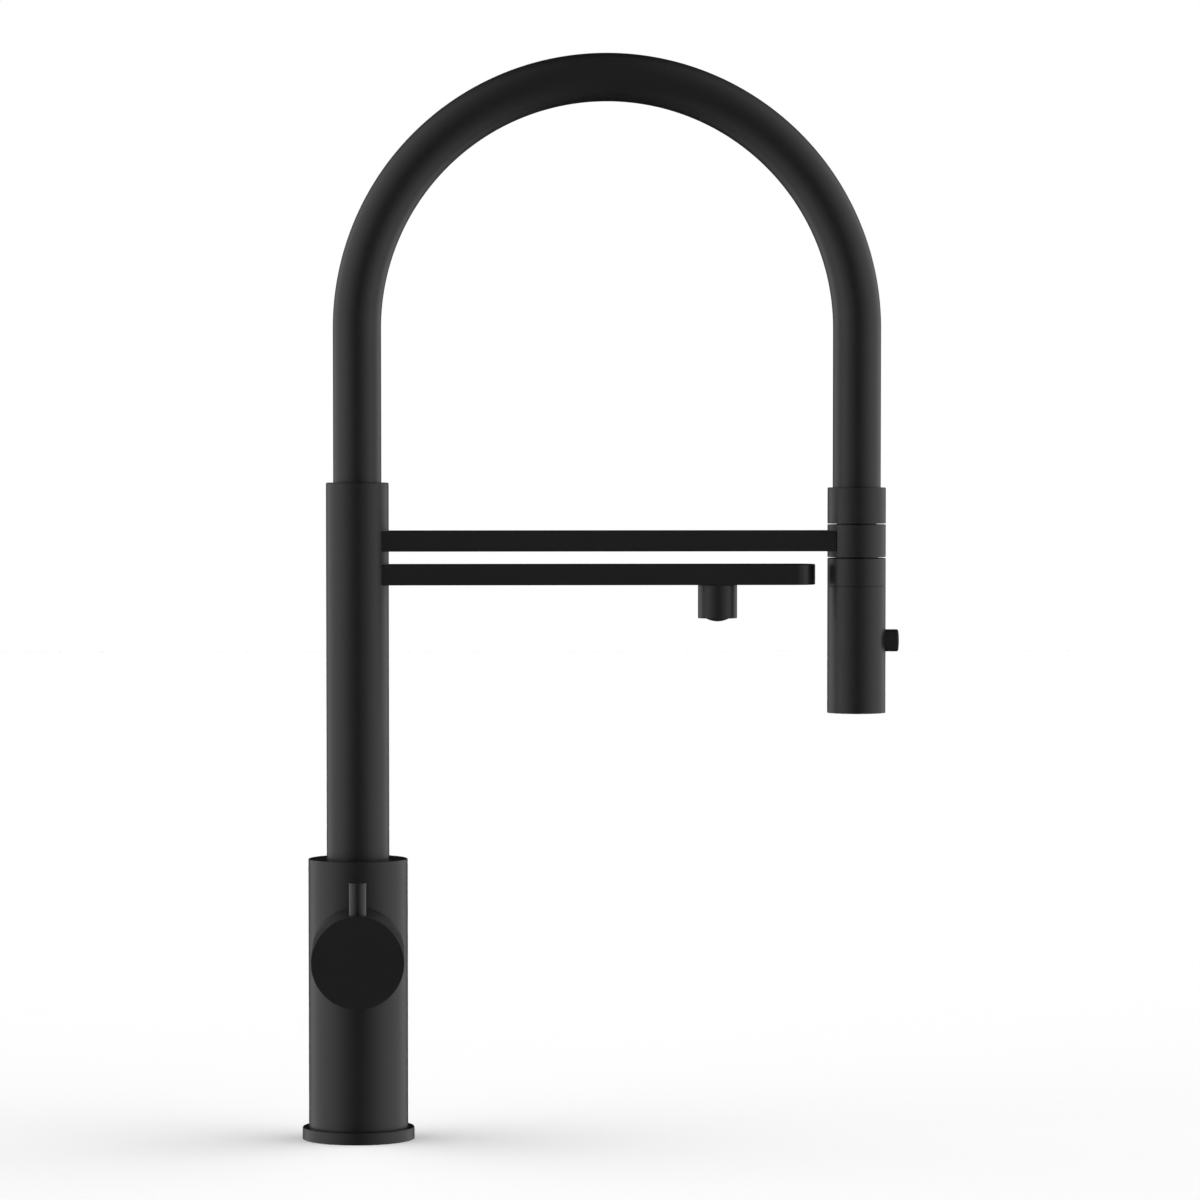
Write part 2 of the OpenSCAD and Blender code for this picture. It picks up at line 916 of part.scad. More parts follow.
module aerator_housing() {
  color(black)
    translate([aerator_x, 0, 0])
      difference() {
        union() {
          rod(aerator_r, spout_z - aerator_h, spout_z, bevel / 2, bevel / 2);
          bore(aerator_r - 2.7, spout_z - 1, spout_z + arm_wall);
        }
        bore(pipe_r + seat, spout_z, spout_z + arm_wall + 1);
        bore(pipe_r - pipe_wall, spout_z - 5, spout_z + 1);
        bore(aerator_r - 1.15, spout_z - aerator_h - 1, spout_z - 4);
      }
}

module aerator_seal() {
  color(rubber)
    translate([aerator_x, 0, 0])
      ring(aerator_r - 1.15 - seat, 4, spout_z - 5.6, spout_z - 4);
}

module aerator_insert() {
  color(black_plastic)
    translate([aerator_x, 0, 0])
      difference() {
        union() {
          rod(aerator_r - 1.15 - seat, spout_z - aerator_h + 0.4, spout_z - 5.6, 0.3, 0);
          rod(nozzle_r, spout_z - aerator_h - nozzle_out, spout_z - 6, 0.9, 0);
        }
        bore(nozzle_r - 1.2, spout_z - aerator_h - nozzle_out - 1, spout_z - aerator_h + 3);
        for (turn = [0:60:300])
          rotate([0, 0, turn])
            translate([2.4, 0, 0])
              bore(0.8, spout_z - aerator_h + 2, spout_z - 5);
      }
}

module pipe_guides() {
  color(white_plastic)
    for (share = [0.3, 0.62])
      translate([0, 0, body_top + share * (spout_z - body_top)])
        difference() {
          bore(post_bore_r - seat, 0, 4);
          bore(hose_r + 0.15, -1, 5);
          translate([pipe_at, 0, 0])
            bore(pipe_r + seat, -1, 5);
          translate([-9.5, 0, 0])
            bore(2.2, -1, 5);
        }
}

// Spray hose

module arch_hose() {
  color(grey_plastic)
    difference() {
      arch_run(hose_r, -shank_len + 2, pull_top + free);
      arch_run(hose_bore_r, -shank_len + 1, pull_top);
    }
}

module hose_plug() {
  color(brass)
    difference() {
      union() {
        rod(ferrule_r, -shank_len - 6, -shank_len + 10, 0.3, 0.3);
        rod(4.5, -shank_len - 16, -shank_len - 5, 0.5, 0);
      }
      bore(hose_r + seat, -shank_len + 2, -shank_len + 11);
      bore(hose_bore_r - 0.6, -shank_len - 17, -shank_len + 3);
    }
}

module pull_hose() {
  color(grey_plastic)
    on_head()
      ring(hose_r, hose_bore_r, flange_top + 2, pull_top);
}

module hose_fitting() {
  color(steel)
    on_head()
      difference() {
        union() {
          rod(flange_r, flange_z, flange_top, 0.2, 0.2);
          rod(ferrule_r, flange_top - 1, ferrule_top, 0, 0.3);
        }
        bore(hose_bore_r - 0.7, flange_z - 1, flange_top + 3);
        bore(hose_r + seat, flange_top + 2, ferrule_top + 1);
      }
}

// Spray head

module swivel_nut() {
  color(black)
    on_head()
      difference() {
        union() {
          rod(spigot_r, seam_z + 4, head_spigot_top, 0, 0.4);
          bore(nut_skirt_r, inlet_top - 3, head_z1 - head_lid);
        }
        bore(ferrule_r + running, inlet_top, head_spigot_top + 1);
        bore(inlet_r + seat, inlet_top - 4, nut_shoulder);
        ring(spigot_r + 1, spigot_r - 0.9, spigot_meet - 4.4, spigot_meet - 2.8);
      }
}

module spigot_seal() {
  color(rubber)
    on_head()
      ring(spigot_r + running / 2, spigot_r - 0.9 + seat, spigot_meet - 4.35, spigot_meet - 2.85, 0.3, 0.3);
}

module hose_washer() {
  color(rubber)
    on_head()
      ring(flange_r, hose_bore_r - 0.7, inlet_top, inlet_top + washer_t);
}

module head_top() {
  color(black)
    on_head()
      difference() {
        rod(head_r, seam_z, head_z1, bevel / 2, bevel);
        bore(shell_bore_r, seam_z - 1, head_z1 - head_lid);
        bore(spigot_r + seat, head_z1 - head_lid - 1, head_z1 + 1);
      }
}

module head_shell() {
  color(black)
    on_head()
      difference() {
        rod(head_r, head_z0, seam_z, bevel / 2, bevel / 2);
        bore(shell_bore_r, head_z0 - 1, seam_z + 1);
        along_x(button_z)
          bore(pocket_r, 0, head_r + 1);
      }
}

module spray_housing() {
  color(grey_plastic)
    on_head()
      difference() {
        union() {
          bore(housing_r, housing_z, inlet_top - 3 - seat);
          bore(inlet_r, inlet_top - 4, inlet_top);
        }
        bore(hose_bore_r, inlet_top - 9, inlet_top + 1);
        bore(channel_r, housing_z, inlet_top - 8);
        bore(housing_r - 2, housing_z - 1, housing_z + spray_room);
        along_x(button_z) {
          bore(pocket_r, pocket_floor, shell_bore_r + 1);
          bore(spool_bore_r, -spool_in - button_travel - 0.2, pocket_floor + 1);
        }
      }
}

// Places of the spray nozzles: an inner and an outer ring
nozzle_spots = concat(
  [for (k = [0:8]) let (a = k * 40) [6.4 * cos(a), 6.4 * sin(a)]],
  [for (k = [0:13]) let (a = k * 360 / 14) [9.7 * cos(a), 9.7 * sin(a)]]
);

module nozzle_mat() {
  color(rubber)
    on_head() {
      difference() {
        bore(shell_bore_r - 0.2, mat_z, mat_z + mat_t);
        bore(stream_r + seat, mat_z - 1, mat_z + mat_t + 1);
      }
      for (spot = nozzle_spots)
        translate([spot[0], spot[1], 0])
          bore(0.75, face_z - 0.5, mat_z + 0.1);
    }
}

module spray_face() {
  color(black_plastic)
    on_head()
      difference() {
        rod(shell_bore_r - seat, face_z, mat_z, 0.3, 0);
        bore(stream_r + seat, face_z - 1, mat_z + 1);
        for (spot = nozzle_spots)
          translate([spot[0], spot[1], 0])
            bore(0.8, face_z - 1, mat_z + 1);
      }
}

module stream_insert() {
  color(grey_plastic)
    on_head()
      difference() {
        rod(stream_r, face_z + 0.4, mat_z + mat_t, 0.3, 0);
        for (turn = [0:60:300])
          rotate([0, 0, turn])
            translate([2.2, 0, 0])
              bore(0.75, face_z - 1, mat_z + mat_t + 1);
      }
}

module button() {
  color(black)
    on_head()
      along_x(button_z) {
        difference() {
          rod(button_r, cap_back, cap_front, 0, bevel * 1.6);
          bore(cap_bore_r, cap_back - 1, cap_front - cap_face_t);
        }
        bore(1.8, pocket_floor - 0.5, cap_front - cap_face_t + 0.5);
        difference() {
          bore(spool_r, waist_from + waist_len, pocket_floor);
          ring(spool_r + 1, spool_r - 0.7, pocket_floor - 1.6, pocket_floor - 0.8);
        }
        bore(waist_r, waist_from - 0.5, waist_from + waist_len + 0.5);
        difference() {
          bore(spool_r, -spool_in, waist_from);
          ring(spool_r + 1, spool_r - 0.7, 1.4 - spool_in, 2.2 - spool_in);
        }
      }
}

module spool_seals() {
  color(rubber)
    on_head()
      along_x(button_z)
        for (at = [1.4 - spool_in, pocket_floor - 1.6])
          ring(spool_r + running / 2, spool_r - 0.7 + seat / 2, at + seat, at + 0.8 - seat);
}

module button_spring() {
  color(steel)
    on_head()
      along_x(button_z)
        ring(cap_bore_r - 0.2, 2.6, pocket_floor, pocket_floor + spring_room - 0.1);
}

base_plate();
base_seal();
mounting_shank();
rubber_washer();
steel_washer();
lock_nut();
body_sleeve();
valve_block();
swivel_bush();
swivel_screw();
hose_seal();
cartridge_collar();
cartridge_body();
cartridge_seals();
fixed_disc();
cartridge_nut();
diverter_seat();
diverter_piston();
diverter_spring();
moving_disc();
cartridge_stem();
knob_adapter();
knob();
pin_lever();
knob_screw();
knob_plug();
swivel_spigot();
swivel_seals();
riser_post();
tube_socket();
arch_tube();
tube_collar();
tube_spigot();
docking_arm();
dock_bush();
spout_arm();
outlet_pipe();
aerator_housing();
aerator_seal();
aerator_insert();
pipe_guides();
arch_hose();
hose_plug();
pull_hose();
hose_fitting();
swivel_nut();
spigot_seal();
hose_washer();
head_top();
head_shell();
spray_housing();
nozzle_mat();
spray_face();
stream_insert();
button();
spool_seals();
button_spring();
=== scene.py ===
"""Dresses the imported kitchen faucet: satin black turned parts, a swept arch, real threads, coils,
nozzles and hose braid, in a white studio seen from the photograph's place."""

import json
import logging
import math
from dataclasses import dataclass
from enum import Enum
from typing import Callable, NamedTuple

import bmesh
import bpy
from mathutils import Matrix, Vector


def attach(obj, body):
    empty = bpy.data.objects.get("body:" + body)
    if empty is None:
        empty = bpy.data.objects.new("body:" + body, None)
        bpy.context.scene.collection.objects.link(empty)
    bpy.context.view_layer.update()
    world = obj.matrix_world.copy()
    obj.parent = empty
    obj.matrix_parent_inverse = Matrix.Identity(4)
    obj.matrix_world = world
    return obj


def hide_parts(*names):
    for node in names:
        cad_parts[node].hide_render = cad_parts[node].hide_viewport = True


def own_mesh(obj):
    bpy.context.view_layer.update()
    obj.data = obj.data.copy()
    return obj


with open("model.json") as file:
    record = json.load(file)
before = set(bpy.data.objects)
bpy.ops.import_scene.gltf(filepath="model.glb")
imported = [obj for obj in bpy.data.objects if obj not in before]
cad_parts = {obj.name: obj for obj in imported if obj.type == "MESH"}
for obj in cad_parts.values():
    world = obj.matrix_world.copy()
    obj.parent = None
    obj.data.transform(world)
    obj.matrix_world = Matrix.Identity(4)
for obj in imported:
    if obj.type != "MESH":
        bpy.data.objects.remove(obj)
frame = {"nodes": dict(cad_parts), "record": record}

MM = 0.001
SEAT = 0.05  # mm between pieces that fit in each other
ARC_STEPS = 5
CREASE = math.radians(30)
LOG = logging.getLogger("faucet")
Triple = tuple[float, float, float]
Colour = Triple
Piece = bpy.types.Object
Socket = bpy.types.NodeSocket


class Corner(NamedTuple):
    """A corner of a turned profile: its radius, its place along the axis and its rounding, in mm."""

    r: float
    h: float
    round: float = 0.0


class Way(Enum):
    """The way that a turned piece's own axis points."""

    UP = "+Z"
    KNOB = "-Y"
    BACK = "+Y"
    HEAD = "+X"

    def turn(self) -> Matrix:
        """Finds how to lay a piece this way.

        Returns:
            The turn that takes +Z to this way.
        """
        if self is Way.UP:
            return Matrix.Identity(4)
        if self is Way.HEAD:
            return Matrix.Rotation(math.radians(90), 4, "Y")
        return Matrix.Rotation(math.radians(90 if self is Way.KNOB else -90), 4, "X")


class Cut(Enum):
    """What a boolean does with the second mesh."""

    TAKE_AWAY = "DIFFERENCE"
    JOIN = "UNION"


def rounded(corners: list[Corner], closed: bool) -> list[tuple[float, float]]:
    """Turns each rounded corner of a profile into a small arc.

    Args:
        corners: the profile's corners in order
        closed: whether the last corner joins the first

    Returns:
        The profile as plain points (radius, height) in mm.
    """
    points: list[tuple[float, float]] = []
    count = len(corners)
    for i, corner in enumerate(corners):
        here = Vector((corner.r, corner.h))
        if corner.round <= 0 or (not closed and i in (0, count - 1)):
            points.append((corner.r, corner.h))
            continue
        before = Vector(corners[i - 1][:2]) - here
        after = Vector(corners[(i + 1) % count][:2]) - here
        room = 0.49 * min(before.length, after.length)
        before.normalize()
        after.normalize()
        angle = before.angle(after)
        size = min(corner.round, room * math.tan(angle / 2))
        centre = here + (before + after).normalized() * (size / math.sin(angle / 2))
        start = here + before * (size / math.tan(angle / 2)) - centre
        sweep = start.angle_signed(here + after * (size / math.tan(angle / 2)) - centre)
        for k in range(ARC_STEPS + 1):
            turn = -sweep * k / ARC_STEPS
            x = start.x * math.cos(turn) - start.y * math.sin(turn)
            y = start.x * math.sin(turn) + start.y * math.cos(turn)
            points.append((centre.x + x, centre.y + y))
    return points


def band(outer: float, inner: float, low: float, high: float, *eases: float) -> list[Corner]:
    """Lists the corners of a plain ring's profile.

    Args:
        outer: the outer radius
        inner: the bore's radius
        low: the lower end
        high: the upper end
        eases: the roundings, from the outer low corner upwards and down the bore

    Returns:
        The four corners.
    """
    places = ((outer, low), (outer, high), (inner, high), (inner, low))
    return [Corner(r, h, ease) for (r, h), ease in zip(places, eases)]


class Shape:
    """The faces of one piece, gathered in millimetres in the row frame."""

    def __init__(self) -> None:
        """Starts with no faces."""
        self.bm = bmesh.new()

    def skin(self, rows: list[list[Vector]], closed: bool = False, capped: bool = False) -> "Shape":
        """Joins rows of points that run round the piece.

        Args:
            rows: rows with the same count of points
            closed: whether the last row joins the first
            capped: whether a flat face fills the first and the last row

        Returns:
            The shape, for the next call.
        """
        grid = [[self.bm.verts.new(point * MM) for point in row] for row in rows]
        pairs = list(zip(grid, grid[1:]))
        if closed:
            pairs.append((grid[-1], grid[0]))
        for low, high in pairs:
            for i in range(len(low)):
                j = (i + 1) % len(low)
                self.bm.faces.new((low[i], low[j], high[j], high[i]))
        if capped:
            self.bm.faces.new(list(reversed(grid[0])))
            self.bm.faces.new(grid[-1])
        return self

    def turned(
        self, corners: list[Corner], at: Vector = Vector(), way: Way = Way.UP, sides: int = 128,
        hollow: bool = False,
    ) -> "Shape":
        """Turns a profile round an axis.

        Args:
            corners: the profile's corners, upwards on the outside and down again on the inside
            at: a point on the axis
            way: where the axis points
            sides: points round the piece
            hollow: whether the profile closes on itself, as a ring's does

        Returns:
            The shape, for the next call.
        """
        place = Matrix.Translation(at) @ way.turn()
        spokes = [(math.cos(math.tau * i / sides), math.sin(math.tau * i / sides)) for i in range(sides)]
        rows = [[place @ Vector((r * c, r * s, h)) for c, s in spokes] for r, h in rounded(corners, hollow)]
        return self.skin(rows, closed=hollow, capped=not hollow)

    def made(self, name: str) -> Piece:
        """Makes the faces an object with smooth curves and true flats.

        Args:
            name: the new object's name

        Returns:
            The new object, at the origin.
        """
        bmesh.ops.recalc_face_normals(self.bm, faces=self.bm.faces)
        mesh = bpy.data.meshes.new(name)
        self.bm.to_mesh(mesh)
        self.bm.free()
        return settle(linked(name, mesh))


def linked(name: str, data: bpy.types.ID) -> Piece:
    """Makes an object and puts it in the scene.

    Args:
        name: the object's name
        data: its mesh or camera

    Returns:
        The object.
    """
    piece = bpy.data.objects.new(name, data)
    bpy.context.scene.collection.objects.link(piece)
    return piece


def baked(piece: Piece) -> Piece:
    """Makes what a piece's modifiers give its plain mesh.

    Args:
        piece: the piece with its modifiers

    Returns:
        The same piece, without modifiers.
    """
    bpy.context.view_layer.update()
    view = bpy.context.evaluated_depsgraph_get()
    mesh = bpy.data.meshes.new_from_object(piece.evaluated_get(view), depsgraph=view)
    piece.modifiers.clear()
    piece.data = mesh
    mesh.name = piece.name
    return piece


def settle(piece: Piece) -> Piece:
    """Smooths a piece's curves and keeps its flats and edges true.

    Args:
        piece: the piece

    Returns:
        The same piece.
    """
    piece.data.shade_smooth()
    piece.data.set_sharp_from_angle(angle=CREASE)
    weigh = piece.modifiers.new("true_flats", "WEIGHTED_NORMAL")
    weigh.mode = "FACE_AREA"
    weigh.keep_sharp = True
    return baked(piece)


def drill(r: float, low: float, high: float, at: Vector, way: Way, sides: int = 128) -> Piece:
    """Makes a plain rod to cut out of a piece or to join on.

    Args:
        r: its radius
        low: where it starts along its axis
        high: where it ends
        at: the point on its axis that these count from
        way: where the axis points
        sides: points round it

    Returns:
        The rod.
    """
    return Shape().turned([Corner(r, low), Corner(r, high)], at, way, sides).made("tool")


def carved(piece: Piece, tool: Piece, cut: Cut = Cut.TAKE_AWAY) -> Piece:
    """Cuts a tool's shape out of a piece, or joins it on.

    Args:
        piece: the piece to change
        tool: the shape to cut or join, which is removed
        cut: what to do

    Returns:
        The changed piece.
    """
    work = piece.modifiers.new("cut", "BOOLEAN")
    work.operation = cut.value
    work.solver = "EXACT"
    work.object = tool
    baked(piece)
    bpy.data.objects.remove(tool)
    return settle(piece)


def joined(name: str, *parts: Piece) -> Piece:
    """Puts several meshes in one piece.

    Args:
        name: the new piece's name
        parts: the meshes, whose objects are removed

    Returns:
        The new piece.
    """
    first = parts[0]
    with bpy.context.temp_override(active_object=first, selected_editable_objects=list(parts)):
        bpy.ops.object.join()
    first.name = name
    return first


def fan(steps: int) -> list[float]:
    """Args: steps: how many parts. Returns: angles from -90 to +90 degrees, in radians."""
    return [-math.pi / 2 + math.pi * k / steps for k in range(steps + 1)]


class NodeTree:
    """A tree of nodes, added one by one."""

    def __init__(self, tree: bpy.types.NodeTree) -> None:
        """Args: tree: the tree that takes the nodes."""
        self.tree = tree

    def node(self, kind: str, inputs: dict | None = None, **settings: object) -> bpy.types.Node:
        """Adds a node.

        Args:
            kind: the node's type
            inputs: values or sockets by the input's name or number
            settings: the node's own properties

        Returns:
            The new node.
        """
        node = self.tree.nodes.new(kind)
        for key, value in settings.items():
            setattr(node, key, value)
        for key, value in (inputs or {}).items():
            if isinstance(value, Socket):
                self.tree.links.new(value, node.inputs[key])
            else:
                node.inputs[key].default_value = value
        return node

    def out(self, kind: str, inputs: dict | None = None, **settings: object) -> Socket:
        """Args: as node's. Returns: the new node's first output."""
        return self.node(kind, inputs, **settings).outputs[0]

    def math(self, operation: str, *terms: object) -> Socket:
        """Args: operation: the sum's kind. terms: its terms. Returns: the result."""
        return self.out("ShaderNodeMath", dict(enumerate(terms)), operation=operation)


class ShaderTree(NodeTree):
    """A material's nodes."""

    def __init__(self, name: str) -> None:
        """Starts a material with no nodes.

        Args:
            name: the material's name
        """
        self.material = bpy.data.materials.new(name)
        self.material.use_nodes = True
        super().__init__(self.material.node_tree)
        self.tree.nodes.clear()
        self.coords = self.node("ShaderNodeTexCoord").outputs["Object"]

    def noise(self, scale: float, detail: float, stretch: Triple = (1, 1, 1)) -> Socket:
        """Adds noise on Object coordinates.

        Args:
            scale: lumps per metre
            detail: octaves
            stretch: how much denser the noise is along each axis

        Returns:
            The noise's value, from 0 to 1.
        """
        place = self.out("ShaderNodeMapping", {"Vector": self.coords, "Scale": stretch})
        return self.out("ShaderNodeTexNoise", {"Vector": place, "Scale": scale, "Detail": detail})

    def between(self, value: Socket, low: float, high: float) -> Socket:
        """Args: value: a value from 0 to 1. low, high: the new limits. Returns: the value between them."""
        return self.out("ShaderNodeMapRange", {"Value": value, "To Min": low, "To Max": high})

    def blended(self, value: Socket, first: Colour, second: Colour) -> Socket:
        """Args: value: a value from 0 to 1. first, second: the two colours. Returns: the mixed colour."""
        mix = self.node("ShaderNodeMix", {0: value, 6: (*first, 1), 7: (*second, 1)}, data_type="RGBA")
        return mix.outputs[2]

    def bump(self, height: Socket, depth: float) -> Socket:
        """Args: height: a value from 0 to 1. depth: its real depth in mm. Returns: the bumped normal."""
        return self.out("ShaderNodeBump", {"Height": height, "Distance": depth * MM, "Strength": 1.0})

    def surface(self, inputs: dict) -> bpy.types.Material:
        """Ends the material in one surface shader.

        Args:
            inputs: the shader's values or sockets

        Returns:
            The material.
        """
        shader = self.out("ShaderNodeBsdfPrincipled", inputs)
        self.node("ShaderNodeOutputMaterial", {"Surface": shader})
        return self.material


@dataclass(frozen=True)
class SatinCoat:
    """A satin black coat: a fine even skin with a faint broad change of sheen."""

    slot: str = "satin_black"
    deep: Colour = (0.0069, 0.0069, 0.0071)
    light: Colour = (0.0091, 0.0091, 0.0094)
    smooth: float = 0.30
    rough: float = 0.38

    def material(self) -> bpy.types.Material:
        """Mixes the coat.

        Returns:
            The coat's material.
        """
        t = ShaderTree("coat_satin_black")
        skin = t.noise(1500, 3)
        broad = t.noise(45, 2)
        return t.surface({
            "Base Color": t.blended(skin, self.deep, self.light),
            "Roughness": t.between(broad, self.smooth, self.rough),
            "Specular IOR Level": 0.5,
            "Normal": t.bump(skin, 0.006),
        })


@dataclass(frozen=True)
class Moulded:
    """Moulded plastic or ceramic with a fine grain."""

    slot: str
    dark: Colour
    pale: Colour
    rough: float
    grain: float

    def material(self) -> bpy.types.Material:
        """Mixes the moulding.

        Returns:
            The moulding's material.
        """
        t = ShaderTree("moulded_" + self.slot)
        grain = t.noise(2600, 4)
        flow = t.noise(70, 2, (1, 1, 0.3))
        return t.surface({
            "Base Color": t.blended(flow, self.dark, self.pale),
            "Roughness": t.between(grain, self.rough - 0.06, self.rough + 0.06),
            "Normal": t.bump(grain, self.grain),
        })


@dataclass(frozen=True)
class Machined:
    """Bare machined metal with turning marks across its own axis."""

    slot: str
    dull: Colour
    bright: Colour
    rough: float

    def material(self) -> bpy.types.Material:
        """Mixes the metal.

        Returns:
            The metal's material.
        """
        t = ShaderTree("machined_" + self.slot)
        marks = t.noise(300, 3, (0.4, 0.4, 12))
        stain = t.noise(60, 3)
        return t.surface({
            "Base Color": t.blended(stain, self.dull, self.bright),
            "Metallic": 1.0,
            "Roughness": t.between(marks, self.rough - 0.08, self.rough + 0.1),
            "Normal": t.bump(marks, 0.004),
        })


@dataclass(frozen=True)
class Rubber:
    """Matt black rubber with a dusty bloom."""

    slot: str = "rubber"
    clean: Colour = (0.010, 0.010, 0.010)
    dusty: Colour = (0.026, 0.026, 0.025)

    def material(self) -> bpy.types.Material:
        """Mixes the rubber.

        Returns:
            The rubber's material.
        """
        t = ShaderTree("rubber_black")
        bloom = t.noise(350, 5)
        return t.surface({
            "Base Color": t.blended(bloom, self.clean, self.dusty),
            "Roughness": t.between(bloom, 0.68, 0.86),
            "Specular IOR Level": 0.35,
            "Normal": t.bump(t.noise(1800, 2), 0.01),
        })


@dataclass(frozen=True)
class Braid:
    """A hose's woven sleeve: two sets of yarns that cross round the hose's axis."""

    name: str
    axis_x: float
    yarns: float = 20.0
    rise: float = 700.0
    dark: Colour = (0.05, 0.05, 0.055)
    pale: Colour = (0.21, 0.22, 0.235)

    def material(self) -> bpy.types.Material:
        """Weaves the sleeve.

        Returns:
            The sleeve's material.
        """
        t = ShaderTree("braid_" + self.name)
        centred = t.out("ShaderNodeMapping", {"Vector": t.coords, "Location": (-self.axis_x * MM, 0, 0)})
        x, y, z = t.node("ShaderNodeSeparateXYZ", {0: centred}).outputs
        angle = t.math("ARCTAN2", y, x)
        strands = []
        for hand in (-1, 1):
            lead = t.math("MULTIPLY", z, hand * self.rise)
            strands.append(t.math("SINE", t.math("MULTIPLY_ADD", angle, self.yarns, lead)))
        weave = t.math("MAXIMUM", *strands)
        level = t.out("ShaderNodeMapRange", {"Value": weave, "From Min": -1.0})
        return t.surface({
            "Base Color": t.blended(level, self.dark, self.pale),
            "Roughness": t.between(t.noise(900, 2), 0.5, 0.7),
            "Normal": t.bump(level, 0.12),
        })


class Finishes:
    """Every material of the faucet: by the record's slot, and the braid of each hose by its node."""

    def __init__(self) -> None:
        """Makes each material once."""
        kinds = [
            SatinCoat(),
            Moulded("black_plastic", (0.0068, 0.0068, 0.0072), (0.0088, 0.0088, 0.0092), 0.52, 0.012),
            Moulded("white_plastic", (0.70, 0.68, 0.62), (0.78, 0.76, 0.71), 0.45, 0.01),
            Moulded("grey_plastic", (0.17, 0.175, 0.185), (0.22, 0.225, 0.235), 0.5, 0.012),
            Moulded("ceramic", (0.82, 0.80, 0.75), (0.88, 0.86, 0.82), 0.14, 0.002),
            Machined("brass", (0.42, 0.29, 0.09), (0.58, 0.43, 0.17), 0.3),
            Machined("steel", (0.42, 0.43, 0.45), (0.58, 0.59, 0.61), 0.34),
            Rubber(),
        ]
        self.by_slot = {kind.slot: kind.material() for kind in kinds}
        hoses = [Braid("arch_hose", 0.0), Braid("pull_hose", 251.4)]
        self.braids = {hose.name: hose.material() for hose in hoses}


class FormulaTree(NodeTree):
    """A Geometry Nodes tree with named inputs."""

    def __init__(self, name: str) -> None:
        """Starts a tree that takes a finish and gives geometry.

        Args:
            name: the tree's name
        """
        super().__init__(bpy.data.node_groups.new(name, "GeometryNodeTree"))
        self.tree.interface.new_socket("Geometry", in_out="OUTPUT", socket_type="NodeSocketGeometry")
        self.entry = self.tree.nodes.new("NodeGroupInput")
        self.finish = self.size("Finish", "NodeSocketMaterial")

    def size(self, name: str, kind: str = "NodeSocketFloat") -> Socket:
        """Adds a named input.

        Args:
            name: the input's name
            kind: its socket type

        Returns:
            The socket to link from.
        """
        self.tree.interface.new_socket(name, in_out="INPUT", socket_type=kind)
        return self.entry.outputs[name]

    def end(self, geometry: Socket) -> None:
        """Ends the tree in Realize Instances and Set Material.

        Args:
            geometry: what the tree makes
        """
        real = self.out("GeometryNodeRealizeInstances", {"Geometry": geometry})
        dressed = self.out("GeometryNodeSetMaterial", {"Geometry": real, "Material": self.finish})
        self.node("NodeGroupOutput", {0: dressed})

    def grown(
        self, name: str, values: dict[str, object], after: Callable[[Piece], None] | None = None
    ) -> Piece:
        """Runs the tree once and keeps the result as a plain mesh.

        Args:
            name: the new piece's name
            values: a value for each named input
            after: adds further modifiers, if any

        Returns:
            The new piece.
        """
        piece = linked(name, bpy.data.meshes.new(name))
        work = piece.modifiers.new("formula", "NODES")
        work.node_group = self.tree
        for item in self.tree.interface.items_tree:
            if item.in_out == "INPUT" and item.name in values:
                work[item.identifier] = values[item.name]
        if after:
            after(piece)
        return baked(piece)


def arch_formula() -> FormulaTree:
    """Sweeps a round tube up one leg, round a half circle and down the other leg.

    Returns:
        The tree, whose sizes are in metres.
    """
    t = FormulaTree("tube_round_an_arch")
    reach, foot, spring, mouth, radius = (
        t.size(n) for n in ("Reach", "Foot", "Arch Height", "Mouth", "Tube Radius")
    )
    rings, sides = (t.size(n, "NodeSocketInt") for n in ("Rings", "Sides"))
    bend = t.math("MULTIPLY", reach, 0.5)
    up = t.math("SUBTRACT", spring, foot)
    down = t.math("SUBTRACT", spring, mouth)
    half = t.math("MULTIPLY", bend, math.pi)
    whole = t.math("ADD", t.math("ADD", up, down), half)
    share = t.node("GeometryNodeSplineParameter").outputs["Factor"]
    run = t.math("MULTIPLY", share, whole)
    past = t.math("SUBTRACT", run, up)
    angle = t.math("MINIMUM", t.math("MAXIMUM", t.math("DIVIDE", past, bend), 0.0), math.pi)
    x = t.math("MULTIPLY", t.math("SUBTRACT", 1.0, t.math("COSINE", angle)), bend)
    climb = t.math("MINIMUM", run, up)
    drop = t.math("MAXIMUM", t.math("SUBTRACT", past, half), 0.0)
    rise = t.math("MULTIPLY_ADD", t.math("SINE", angle), bend, t.math("ADD", foot, climb))
    place = t.out("ShaderNodeCombineXYZ", {0: x, 2: t.math("SUBTRACT", rise, drop)})
    line = t.out("GeometryNodeCurvePrimitiveLine", {"End": (0, 0, 1)})
    fine = t.out("GeometryNodeResampleCurve", {"Curve": line, "Count": rings})
    bent = t.out("GeometryNodeSetPosition", {"Geometry": fine, "Position": place})
    hoop = t.out("GeometryNodeCurvePrimitiveCircle", {"Resolution": sides, "Radius": radius})
    t.end(t.out("GeometryNodeCurveToMesh", {"Curve": bent, "Profile Curve": hoop}))
    return t


